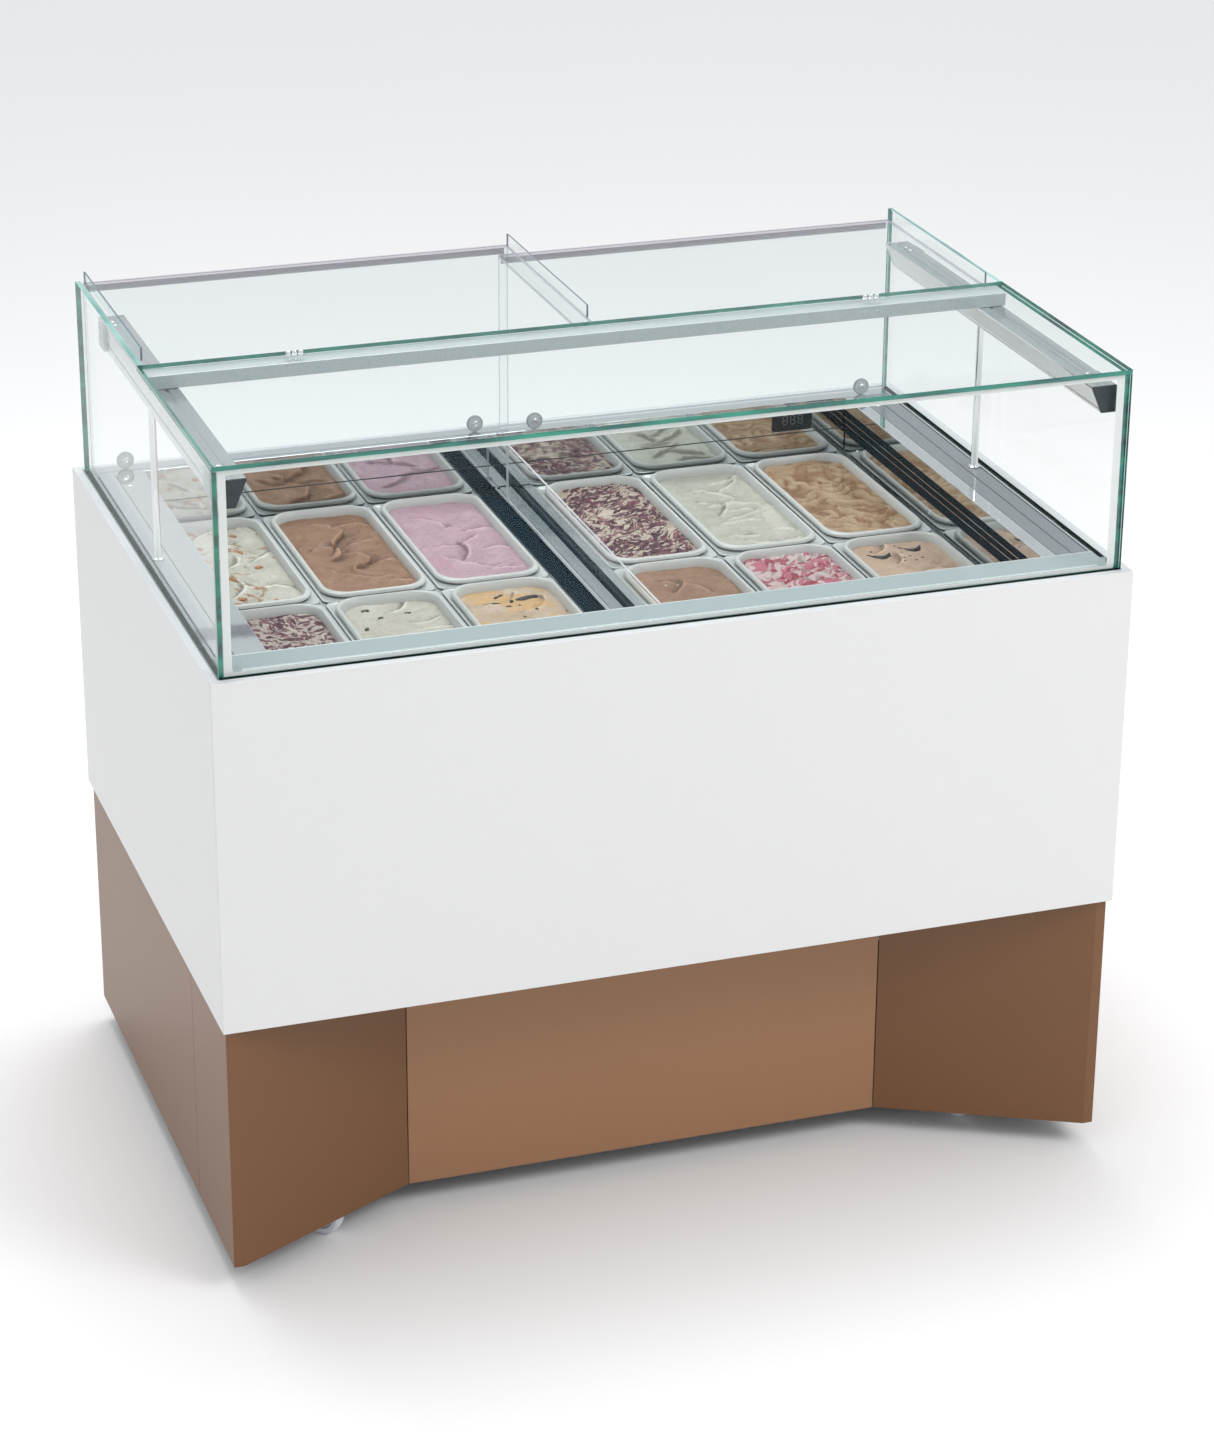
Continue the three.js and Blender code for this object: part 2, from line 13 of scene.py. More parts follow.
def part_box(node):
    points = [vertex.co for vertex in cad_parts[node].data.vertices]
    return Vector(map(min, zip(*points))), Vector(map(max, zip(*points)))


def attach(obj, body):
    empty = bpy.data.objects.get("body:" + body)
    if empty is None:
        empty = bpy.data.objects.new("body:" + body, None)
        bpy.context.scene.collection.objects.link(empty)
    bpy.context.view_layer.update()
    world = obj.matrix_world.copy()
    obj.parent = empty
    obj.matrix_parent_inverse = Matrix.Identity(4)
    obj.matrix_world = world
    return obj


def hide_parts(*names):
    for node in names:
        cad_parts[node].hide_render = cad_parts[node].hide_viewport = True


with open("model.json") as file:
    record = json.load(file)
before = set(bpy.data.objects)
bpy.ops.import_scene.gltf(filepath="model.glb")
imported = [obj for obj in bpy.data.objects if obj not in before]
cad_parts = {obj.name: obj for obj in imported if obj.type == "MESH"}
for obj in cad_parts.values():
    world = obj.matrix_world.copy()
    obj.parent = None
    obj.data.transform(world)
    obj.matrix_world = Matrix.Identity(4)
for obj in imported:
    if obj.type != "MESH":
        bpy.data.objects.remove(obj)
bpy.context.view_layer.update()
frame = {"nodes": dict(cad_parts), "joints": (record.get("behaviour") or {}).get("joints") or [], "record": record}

BODY_OF = {
    node: body for body, nodes in frame["record"]["behaviour"]["bodies"].items() for node in nodes
}


# ---------- camera, floor and light ----------


def build_camera():
    azimuth, elevation, roll = (math.radians(a) for a in (-19.04, 23.33, 0.37))
    flat = math.cos(elevation)
    look = Vector((-math.sin(azimuth) * flat, math.cos(azimuth) * flat, -math.sin(elevation)))
    side = look.cross(Vector((0, 0, 1))).normalized()
    up = side.cross(look)
    x = side * math.cos(roll) + up * math.sin(roll)
    y = up * math.cos(roll) - side * math.sin(roll)
    data = bpy.data.cameras.new("camera")
    data.lens = 96.7
    camera = in_scene("camera", data)
    turn = Matrix((x, y, -look)).transposed().to_4x4()
    camera.matrix_world = Matrix.Translation((-1.632, -4.828, 2.793)) @ turn
    bpy.context.scene.camera = camera


def area_light(name, place, aim, size, power, colour=(1, 1, 1)):
    data = bpy.data.lights.new(name, "AREA")
    data.shape = "RECTANGLE"
    data.size, data.size_y = size
    data.energy = power
    data.color = colour
    lamp = in_scene(name, data)
    lamp.location = place
    lamp.rotation_euler = (Vector(aim) - Vector(place)).to_track_quat("-Z", "Y").to_euler()


def build_light():
    world = bpy.data.worlds.new("studio")
    bpy.context.scene.world = world
    world.use_nodes = True
    tree = world.node_tree
    place = tree.nodes.new("ShaderNodeTexCoord")
    split = tree.nodes.new("ShaderNodeSeparateXYZ")
    fade = tree.nodes.new("ShaderNodeValToRGB")
    ramp = fade.color_ramp
    # bright below the horizon for the floor's edge, greyer just above it, white overhead
    ramp.elements[0].position = 0.04
    ramp.elements[0].color = (0.95, 0.95, 0.95, 1)
    ramp.elements[1].position = 1.0
    ramp.elements[1].color = (1, 1, 1, 1)
    ramp.elements.new(0.25).color = (0.62, 0.64, 0.66, 1)
    ramp.elements.new(0.50).color = (0.72, 0.73, 0.75, 1)
    tree.links.new(place.outputs["Generated"], split.inputs[0])
    tree.links.new(split.outputs["Z"], fade.inputs["Fac"])
    tree.links.new(fade.outputs["Color"], tree.nodes["Background"].inputs["Color"])
    tree.nodes["Background"].inputs["Strength"].default_value = 1.0
    area_light("key", (2.4, -3.2, 3.8), (0, 0, 0.9), (2.2, 1.8), 70, (1, 0.99, 0.98))
    area_light("top", (-0.2, 0.9, 3.6), (0, 0, 0.9), (2.4, 2.0), 60)


# ---------- material helpers ----------


class Look:
    """A node material being built."""

    def __init__(self, name):
        self.material = bpy.data.materials.new(name)
        self.material.use_nodes = True
        self.tree = self.material.node_tree
        self.tree.nodes.clear()
        self.place = self.node("TexCoord").outputs["Object"]

    def node(self, kind, inputs=None, **settings):
        made = self.tree.nodes.new("ShaderNode" + kind)
        for key, value in settings.items():
            setattr(made, key, value)
        for key, value in (inputs or {}).items():
            if isinstance(value, bpy.types.NodeSocket):
                self.tree.links.new(value, made.inputs[key])
            else:
                made.inputs[key].default_value = value
        return made

    def mapped(self, vector, inputs, kind="POINT"):
        return self.node("Mapping", {"Vector": vector, **inputs}, vector_type=kind).outputs[0]

    def noise(self, scale, detail=3.0, distortion=0.0, vector=None):
        inputs = {
            "Vector": vector or self.place, "Scale": scale, "Detail": detail, "Distortion": distortion,
        }
        return self.node("TexNoise", inputs).outputs["Fac"]

    def math(self, operation, a, b=0.0, c=0.0):
        return self.node("Math", {0: a, 1: b, 2: c}, operation=operation).outputs[0]

    def shift(self, operation, inputs):
        return self.node("VectorMath", inputs, operation=operation).outputs[0]

    def span(self, value, low, high, to_low=0.0, to_high=1.0):
        inputs = {"Value": value, 1: low, 2: high, 3: to_low, 4: to_high}
        return self.node("MapRange", inputs, clamp=True).outputs[0]

    def mix(self, factor, a, b):
        inputs = {0: factor, 6: full(a), 7: full(b)}
        return self.node("Mix", inputs, data_type="RGBA").outputs[2]

    def bump(self, height, strength, distance, normal=None):
        inputs = {"Height": height, "Strength": strength, "Distance": distance}
        if normal is not None:
            inputs["Normal"] = normal
        return self.node("Bump", inputs).outputs[0]

    def principled(self, **inputs):
        named = {key.replace("_", " "): value for key, value in inputs.items()}
        return self.node("BsdfPrincipled", named).outputs[0]

    def done(self, shader):
        self.node("OutputMaterial", {"Surface": shader})
        return self.material

    def surface(self, **inputs):
        return self.done(self.principled(**inputs))


def full(colour):
    """A colour with its alpha; a socket passes through."""
    return colour if isinstance(colour, bpy.types.NodeSocket) else (*colour[:3], 1)


def shade(colour, factor):
    return tuple(min(c * factor, 1.0) for c in colour[:3])


def painted(name, colour, roughness, metallic=0.0, coat=0.0, grain=700, bump=0.03, mottle=0.03):
    look = Look(name)
    cloud = look.noise(4.0)
    fine = look.noise(grain, 2.0)
    tint = look.mix(cloud, shade(colour, 1 - mottle), shade(colour, 1 + mottle))
    rough = look.span(fine, 0.3, 0.7, roughness - 0.04, roughness + 0.04)
    normal = look.bump(fine, bump, 0.0006)
    return look.surface(
        Base_Color=tint, Roughness=rough, Metallic=metallic, Coat_Weight=coat, Coat_Roughness=0.12,
        Normal=normal,
    )


def brushed(name, colour, roughness, stretch=(6, 900, 900), strength=0.04):
    look = Look(name)
    grain = look.noise(1.0, 4.0, vector=look.mapped(look.place, {"Scale": stretch}))
    cloud = look.noise(5.0)
    tint = look.mix(cloud, shade(colour, 0.93), shade(colour, 1.04))
    rough = look.span(grain, 0.3, 0.7, max(roughness - 0.05, 0.02), roughness + 0.06)
    normal = look.bump(grain, strength, 0.0004)
    return look.surface(Base_Color=tint, Roughness=rough, Metallic=1.0, Normal=normal)


def clear(name, tint, shine=1.0):
    """A clear pane's face: tinted see-through with a mirror that grows at grazing angles."""
    look = Look(name)
    facing = look.node("LayerWeight", {"Blend": 0.5}).outputs["Facing"]
    rise = look.math("POWER", facing, 5.0)
    share = look.math("MULTIPLY_ADD", rise, 0.55 * shine, 0.006)
    smear = look.noise(2.5)
    veil = look.mix(smear, shade(tint, 0.998), tint)
    through = look.node("BsdfTransparent", {"Color": veil}).outputs[0]
    mirror = look.node("BsdfGlossy", {"Color": (1, 1, 1, 1), "Roughness": 0.01}).outputs[0]
    return look.done(look.node("MixShader", {0: share, 1: through, 2: mirror}).outputs[0])


def frosted(name, colour, see_through, roughness=0.25):
    """Translucent plastic: part of what is behind it shows."""
    look = Look(name)
    cloud = look.noise(30.0)
    tint = look.mix(cloud, shade(colour, 0.95), colour)
    body = look.principled(Base_Color=tint, Roughness=roughness, Specular_IOR_Level=0.5)
    through = look.node("BsdfTransparent", {"Color": full(colour)}).outputs[0]
    return look.done(look.node("MixShader", {0: see_through, 1: body, 2: through}).outputs[0])


def glass_edge(name, deep, bright):
    look = Look(name)
    streak = look.noise(1.0, 3.0, vector=look.mapped(look.place, {"Scale": (9, 9, 60)}))
    # bright streaks over the real teal edge colour: painted highlights
    tint = look.mix(look.span(streak, 0.35, 0.65), deep, bright)
    return look.surface(Base_Color=tint, Roughness=0.08, Specular_IOR_Level=0.8, Coat_Weight=0.3)


def reflection_painted_dark(name, dark, light):
    """A dark band that reflects almost nothing: a painted reflection, for polished steel that mirrors dark
    surroundings.
    """
    look = Look(name)
    tint = look.mix(look.noise(6.0), dark, light)
    rough = look.span(look.noise(9.0), 0.3, 0.7, 0.20, 0.26)
    return look.surface(Base_Color=tint, Roughness=rough, Specular_IOR_Level=0.02)


# ---------- geometry helpers ----------


def in_scene(name, data):
    made = bpy.data.objects.new(name, data)
    bpy.context.scene.collection.objects.link(made)
    return made


def smoothed(mesh, angle):
    mesh.polygons.foreach_set("use_smooth", [True] * len(mesh.polygons))
    mesh.set_sharp_from_angle(angle=math.radians(angle))


def new_object(name, verts, faces, materials, indices=None, smooth_angle=None):
    mesh = bpy.data.meshes.new(name)
    mesh.from_pydata([tuple(v) for v in verts], [], faces)
    mesh.validate()
    for material in materials:
        mesh.materials.append(material)
    if indices is not None:
        mesh.polygons.foreach_set("material_index", indices)
    if smooth_angle is not None:
        smoothed(mesh, smooth_angle)
    return in_scene(name, mesh)


def from_bmesh(name, bm, materials, smooth_angle=None):
    mesh = bpy.data.meshes.new(name)
    bmesh.ops.recalc_face_normals(bm, faces=bm.faces)
    bm.to_mesh(mesh)
    bm.free()
    for material in materials:
        mesh.materials.append(material)
    if smooth_angle is not None:
        smoothed(mesh, smooth_angle)
    return in_scene(name, mesh)


def outward(made, smooth_angle, weld=None):
    """Points the object's faces outward and smooths it; weld joins points closer than that."""
    bm = bmesh.new()
    bm.from_mesh(made.data)
    if weld:
        bmesh.ops.remove_doubles(bm, verts=bm.verts, dist=weld)
    bmesh.ops.recalc_face_normals(bm, faces=bm.faces)
    bm.to_mesh(made.data)
    bm.free()
    smoothed(made.data, smooth_angle)
    return made


def bevel(bm, width):
    """Rounds the edges that turn more than 30 degrees."""
    limit = math.radians(30)
    sharp = [e for e in bm.edges if len(e.link_faces) == 2 and e.calc_face_angle(0) > limit]
    if width > 0 and sharp:
        bmesh.ops.bevel(
            bm, geom=sharp, offset=width, offset_type="OFFSET", segments=2, profile=0.5,
            affect="EDGES", clamp_overlap=True,
        )


def dressed(node, materials, width, choose=None, smooth_angle=None, cuts=()):
    """A piece in the place of a CAD node, with rounded edges. choose gives each face's material.
    Each cut is a plane (point, normal) that splits faces, so that choose can part them."""
    source = frame["nodes"][node]
    bm = bmesh.new()
    bm.from_mesh(source.data)
    bmesh.ops.remove_doubles(bm, verts=bm.verts, dist=1e-6)
    bmesh.ops.dissolve_limit(bm, angle_limit=math.radians(0.4), verts=bm.verts, edges=bm.edges)
    bevel(bm, width)
    for point, normal in cuts:
        everything = [*bm.verts, *bm.edges, *bm.faces]
        bmesh.ops.bisect_plane(bm, geom=everything, plane_co=point, plane_no=normal, dist=1e-7)
    bmesh.ops.recalc_face_normals(bm, faces=bm.faces)
    for face in bm.faces:
        face.material_index = 0
        face.smooth = False
        if choose:
            face.material_index = choose(face.calc_center_median(), face.normal, face.calc_area())
    made = from_bmesh(node + "_look", bm, materials, smooth_angle)
    return fitted(made, node, replace=True)


def fitted(piece, node, replace=False):
    """The piece rides with the node's body; with replace, the node is hidden and the piece stands in its place."""
    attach(piece, BODY_OF[node])
    if replace:
        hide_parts(node)
    return piece


BOX_FACES = ((0, 1, 3, 2), (4, 6, 7, 5), (0, 4, 5, 1), (2, 3, 7, 6), (0, 2, 6, 4), (1, 5, 7, 3))


def add_box(bm, xs, ys, zs):
    corners = [bm.verts.new((x, y, z)) for x in xs for y in ys for z in zs]
    for face in BOX_FACES:
        bm.faces.new([corners[i] for i in face])


def block(node, name, low, high, look, width=0.0006):
    """A box with rounded edges that rides with the node."""
    bm = bmesh.new()
    bmesh.ops.create_cube(bm, size=1)
    low, high = Vector(low), Vector(high)
    size = high - low
    for v in bm.verts:
        v.co = Vector((low[i] + (v.co[i] + 0.5) * size[i] for i in range(3)))
    bevel(bm, width)
    fitted(from_bmesh(name, bm, [look]), node)


AXIS_ORDER = {"x": (2, 0, 1), "y": (0, 2, 1), "z": (0, 1, 2)}


def prism(name, outline, axis, start, end, materials, width=0.0005, choose=None):
    """An outline extruded along an axis: (y, z) along x, (x, z) along y, (x, y) along z."""
    order = AXIS_ORDER[axis]
    bm = bmesh.new()
    rings = []
    for depth in (start, end):
        ring = []
        for a, b in outline:
            point = (a, b, depth)
            ring.append(bm.verts.new([point[i] for i in order]))
        rings.append(ring)
    count = len(outline)
    bm.faces.new(rings[0])
    bm.faces.new(rings[1])
    for i in range(count):
        j = (i + 1) % count
        bm.faces.new((rings[0][i], rings[0][j], rings[1][j], rings[1][i]))
    bmesh.ops.recalc_face_normals(bm, faces=bm.faces)
    bevel(bm, width)
    bmesh.ops.recalc_face_normals(bm, faces=bm.faces)
    for face in bm.faces:
        if choose:
            face.material_index = choose(face.calc_center_median(), face.normal, face.calc_area())
    return from_bmesh(name, bm, materials)


def turned(name, profile, axis, centre, materials, segments=48, bands=None, smooth_angle=35):
    """A lathe piece: (radius, height) points about an axis through the centre. A profile that ends
    where it starts is a ring. bands gives the material of each step of the profile."""
    verts, faces, indices = [], [], []
    count = len(profile)
    for radius, height in profile:
        for k in range(segments):
            a = 2 * math.pi * k / segments
            u, v = radius * math.cos(a), radius * math.sin(a)
            point = {"x": (height, u, v), "y": (u, height, v), "z": (u, v, height)}[axis]
            verts.append(Vector(point) + Vector(centre))
    for i in range(count - 1):
        for k in range(segments):
            j = (k + 1) % segments
            here, there = i * segments, (i + 1) * segments
            faces.append((here + k, here + j, there + j, there + k))
            indices.append(bands[i] if bands else 0)
    if profile[0] == profile[-1]:
        # the last ring is the first one
        used = (count - 1) * segments
        verts = verts[:used]
        faces = [tuple(v % used for v in face) for face in faces]
    else:
        last = (count - 1) * segments
        faces += [list(range(segments))[::-1], list(range(last, last + segments))]
        indices += [bands[0] if bands else 0] * 2
    return outward(new_object(name, verts, faces, materials, indices), smooth_angle, 1e-7)


def screw(node, name, centre, axis, radius, height, direction=1):
    """A round-headed screw with a dished top, standing out of the node's face along an axis."""
    h = height * direction
    profile = [
        (radius * 0.45, h * 0.55), (radius * 0.48, h), (radius * 0.72, h * 0.96),
        (radius * 0.95, h * 0.6), (radius, h * 0.2), (radius, 0),
    ]
    fitted(turned(name, profile, axis, centre, [CHROME], segments=20), node)


def rounded_loop(centre, half_x, half_y, r, z, count):
    """Evenly spaced points round a rounded rectangle."""
    pieces = []
    for k, (sx, sy) in enumerate(((1, 1), (-1, 1), (-1, -1), (1, -1))):
        a0 = k * math.pi / 2
        for i in range(17):
            a = a0 + i / 16 * math.pi / 2
            pieces.append(
                (
                    centre[0] + sx * (half_x - r) + r * math.cos(a),
                    centre[1] + sy * (half_y - r) + r * math.sin(a),
                )
            )
    p = np.array(pieces + pieces[:1])
    length = np.concatenate([[0], np.cumsum(np.linalg.norm(np.diff(p, axis=0), axis=1))])
    at = np.linspace(0, length[-1], count, endpoint=False)
    x = np.interp(at, length, p[:, 0])
    y = np.interp(at, length, p[:, 1])
    return np.stack([x, y, np.full(count, z)], 1)


def lofted(name, loops, materials, smooth_angle=40):
    """A closed shell through loops of equal length, with a face over each end."""
    count = len(loops[0])
    verts = np.concatenate(loops)
    faces = []
    for i in range(len(loops) - 1):
        for k in range(count):
            j = (k + 1) % count
            faces.append((i * count + k, i * count + j, (i + 1) * count + j, (i + 1) * count + k))
    last = (len(loops) - 1) * count
    faces += [list(range(count))[::-1], list(range(last, last + count))]
    return outward(new_object(name, verts, faces, materials), smooth_angle)


# ---------- materials ----------

WHITE = painted("white_paint", (0.735, 0.735, 0.73), 0.42, grain=500, bump=0.02, mottle=0.006)
FLANGE = painted("white_flange", (0.62, 0.64, 0.66), 0.3, grain=500, bump=0.02, mottle=0.02)
BROWN = painted("brown_paint", (0.172, 0.072, 0.022), 0.36, grain=1500, bump=0.06)
# a lighter copy of the brown paint for the centre panel: painted sheen
BROWN_PAINTED_SHEEN = painted("brown_paint_centre_painted_sheen", (0.315, 0.158, 0.076), 0.40, grain=1500, bump=0.06)
STEEL = brushed("steel", (0.56, 0.59, 0.60), 0.16)
MIRROR = brushed("mirror_steel", (0.70, 0.73, 0.73), 0.03, strength=0.004)
RIBBED = brushed("ribbed_steel", (0.60, 0.64, 0.65), 0.10, stretch=(900, 5, 900))
CHROME = brushed("chrome", (0.80, 0.81, 0.82), 0.06, strength=0.01)
PAN_STEEL = painted("pan_rim", (0.60, 0.63, 0.63), 0.24, metallic=0.35, grain=300, mottle=0.05)
DECK = painted("deck", (0.66, 0.70, 0.715), 0.045, metallic=0.92, grain=200, bump=0.002)
LEDGE = painted("ledge_strip", (0.55, 0.60, 0.60), 0.25, metallic=0.2, grain=300)
BAR_TOP = painted("crossbar_grey", (0.60, 0.62, 0.63), 0.35, metallic=0.4, grain=600)
BAR_FRONT = painted("crossbar_front", (0.36, 0.41, 0.42), 0.30, metallic=0.5, grain=600)
LAMP = brushed("lamp_aluminium", (0.66, 0.68, 0.69), 0.2, stretch=(900, 6, 900))
# a dark copy of the lamp metal for its downward faces: painted shade
LAMP_UNDER_PAINTED_SHADE = painted("lamp_underside_painted_shade", (0.20, 0.22, 0.235), 0.3, metallic=0.5, grain=400)
DIFFUSER = painted("lamp_diffuser", (0.86, 0.88, 0.88), 0.35, grain=200)
DARK_CAP = painted("dark_cap", (0.010, 0.020, 0.026), 0.25, grain=400)
# polished steel painted near black: a painted reflection of dark surroundings
STRIP_PAINTED_REFLECTION = reflection_painted_dark("strip_painted_dark_reflection", (0.0, 0.009, 0.017), (0.001, 0.014, 0.024))
# a dark copy of the deck for the right side band: painted reflection
DECK_BAND_PAINTED_REFLECTION = painted("deck_band_painted_reflection", (0.235, 0.255, 0.275), 0.14, metallic=0.3, grain=300, bump=0.003)
LEDGE_BAND = painted("front_ledge", (0.33, 0.395, 0.405), 0.22, metallic=0.1, grain=300)
RUBBER = painted("gasket", (0.03, 0.04, 0.045), 0.7, grain=900)
FRAME_PAINT = painted("frame_paint", (0.10, 0.11, 0.12), 0.5, grain=600, bump=0.1)
BLACK = painted("black_paint", (0.02, 0.02, 0.022), 0.35, coat=0.2, grain=500, bump=0.08)
COPPER = brushed("copper", (0.62, 0.27, 0.14), 0.3)
FINS = brushed("fins", (0.66, 0.68, 0.70), 0.3, stretch=(200, 200, 4))
FOAM = painted("tank_shell", (0.55, 0.56, 0.56), 0.5, metallic=0.3, grain=300)
PLASTIC = painted("black_plastic", (0.015, 0.016, 0.018), 0.45, grain=900, bump=0.1)
SEGMENT = painted("display_segment", (0.10, 0.12, 0.13), 0.3, grain=500)
WHEEL = painted("wheel_nylon", (0.62, 0.65, 0.68), 0.4, grain=400, bump=0.06)
HUB = painted("wheel_hub", (0.42, 0.46, 0.50), 0.35, grain=400)
PRINT = painted("glass_border", (0.74, 0.75, 0.74), 0.4, grain=400)
TOP_GLASS = clear("top_glass_face", (0.966, 0.987, 0.985))
GLASS = clear("glass_face", (0.992, 0.998, 0.997))
# the teal edge colour with painted highlight streaks
GLASS_EDGE = glass_edge("glass_edge", (0.0, 0.075, 0.068), (0.006, 0.26, 0.18))
# a lighter copy of the glass edge for the side panes' rear edges: painted light
GLASS_EDGE_PAINTED_LIT = glass_edge("glass_edge_painted_lit", (0.10, 0.30, 0.27), (0.35, 0.60, 0.55))
ACRYLIC = clear("acrylic_face", (0.978, 0.991, 0.989), 0.8)
ACRYLIC_EDGE = frosted("acrylic_edge", (0.66, 0.66, 0.71), 0.22)
FLANGE_EDGE = frosted("flange_edge", (0.16, 0.20, 0.24), 0.15)
CORNER_BAND = frosted("corner_band", (0.66, 0.64, 0.68), 0.45)
ROLLER = frosted("roller_acrylic", (0.66, 0.70, 0.72), 0.45, 0.08)
ROLLER_EDGE = frosted("roller_edge", (0.30, 0.34, 0.36), 0.2, 0.1)
CLEAR_PLATE = frosted("clear_plate", (0.70, 0.76, 0.76), 0.6, 0.08)
TUB = frosted("tub_plastic", (0.69, 0.705, 0.69), 0.20, 0.28)


def facing(axis):
    """Chooses material 0 where a face looks along the axis, and the edge material 1 elsewhere."""
    return lambda centre, normal, area: 0 if abs(normal[axis]) > 0.9 else 1


# ---------- the body and plinth ----------


def build_panels():
    def flange(centre, normal, area):
        return 1 if normal.z > 0.6 and centre.z > 0.89 else 0

    for node in ("front_panel", "rear_panel", "left_side_panel", "right_side_panel"):
        dressed(node, [WHITE, FLANGE], 0.0010, choose=flange)
    for node in ("corner_left", "corner_right", "side_left", "side_right", "rear_grille"):
        dressed("plinth_" + node, [BROWN], 0.0006)
    # the centre panel takes the lighter copy of the brown, a painted sheen
    dressed("plinth_centre_panel", [BROWN_PAINTED_SHEEN], 0.0006)
    dressed("base_frame", [FRAME_PAINT], 0.0020)
    dressed("power_switch", [PLASTIC], 0.0010)
    dressed("power_inlet", [PLASTIC], 0.0012)
    build_bezel()
    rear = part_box("rear_panel")
    for i in range(5):
        x = rear[0].x + 0.03 + i * (rear[1].x - rear[0].x - 0.06) / 4
        for k, z in enumerate((rear[0].z + 0.03, rear[1].z - 0.03)):
            place = (x, rear[1].y - 0.0022, z)
            screw("rear_panel", f"rear_screw_{2 * i + k}", place, "y", 0.0045, 0.002)
    low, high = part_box("plinth_rear_grille")
    for i in range(4):
        x = low.x + 0.03 + i * (high.x - low.x - 0.06) / 3
        for k, z in enumerate((low.z + 0.025, high.z - 0.03)):
            place = (x, high.y, z)
            screw("plinth_rear_grille", f"grille_screw_{i}_{k}", place, "y", 0.0045, 0.002)


def build_bezel():
    """The thin frame round the rocker, on the rear panel's face."""
    low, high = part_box("power_switch")
    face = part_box("rear_panel")[1].y
    bm = bmesh.new()
    rings = []
    for margin, depth in ((0.006, 0.0022), (0.006, 0.0002), (0.0015, 0.0002), (0.0015, 0.0022)):
        x0, x1, z0, z1 = low.x - margin, high.x + margin, low.z - margin, high.z + margin
        ring = [(x0, z0), (x1, z0), (x1, z1), (x0, z1)]
        rings.append([bm.verts.new((x, face - depth, z)) for x, z in ring])
    for i in range(4):
        a, b = rings[i], rings[(i + 1) % 4]
        for k in range(4):
            j = (k + 1) % 4
            bm.faces.new((a[k], a[j], b[j], b[k]))
    fitted(from_bmesh("power_switch_bezel", bm, [PLASTIC]), "rear_panel")


def build_casters():
    half = [
        (0.0045, 0.0105), (0.0085, 0.0110), (0.0090, 0.0085), (0.0190, 0.0080), (0.0205, 0.0108),
        (0.0255, 0.0110), (0.0285, 0.0090), (0.0298, 0.0050),
    ]
    below = [(radius, -height) for radius, height in half]
    profile = [*below, (0.0300, 0.0), *half[::-1], below[0]]
    for corner in ("front_left", "front_right", "rear_left", "rear_right"):
        dressed(corner + "_caster_fork", [CHROME], 0.0006, smooth_angle=25)
        node = corner + "_caster_wheel"
        joint = next(j for j in frame["joints"] if j["name"] == corner + "_wheel_roll")
        wheel = turned(
            node + "_look", profile, "z", (0, 0, 0), [WHEEL, HUB], segments=56,
            bands=[1] * 4 + [0] * 8 + [1] * 5,
        )
        turn = Vector((0, 0, 1)).rotation_difference(Vector(joint["axis"])).to_matrix().to_4x4()
        wheel.data.transform(Matrix.Translation(joint["pos_m"]) @ turn)
        fitted(wheel, node, replace=True)


def build_machine():
    dressed("condenser_fan", [PLASTIC], 0.0008)
    for node in ("condenser", "evaporator"):
        dressed(node, [FINS], 0.0010)
    low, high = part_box("condenser")
    pitch, thickness = 0.005, 0.0006
    ys, zs = (high.y - 0.034, high.y - 0.003), (low.z + 0.012, high.z - 0.012)
    bm = bmesh.new()
    x = low.x + 0.008
    while x < high.x - 0.008:
        add_box(bm, (x, x + thickness), ys, zs)
        x += pitch
    fitted(from_bmesh("condenser_fins", bm, [FINS]), "condenser")
    low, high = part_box("compressor")
    centre = (low + high) / 2
    profile = [
        (0.090, 0.0), (0.092, 0.003), (0.088, 0.006), (0.077, 0.012), (0.079, 0.058), (0.084, 0.064),
        (0.084, 0.072), (0.079, 0.078), (0.077, 0.140), (0.072, 0.165), (0.060, 0.181), (0.040, 0.190),
    ]
    foot = (centre.x, centre.y, low.z)
    shell = turned("compressor_look", profile, "z", foot, [BLACK], segments=64)
    fitted(shell, "compressor", replace=True)
    profile = [(0.005, 0.0), (0.005, 0.035), (0.0035, 0.036), (0.0035, 0.0), (0.005, 0.0)]
    port = (centre.x + 0.076, centre.y, low.z + 0.11)
    stub = turned("compressor_pipe", profile, "x", port, [COPPER], segments=20)
    fitted(stub, "compressor")


# ---------- the well ----------


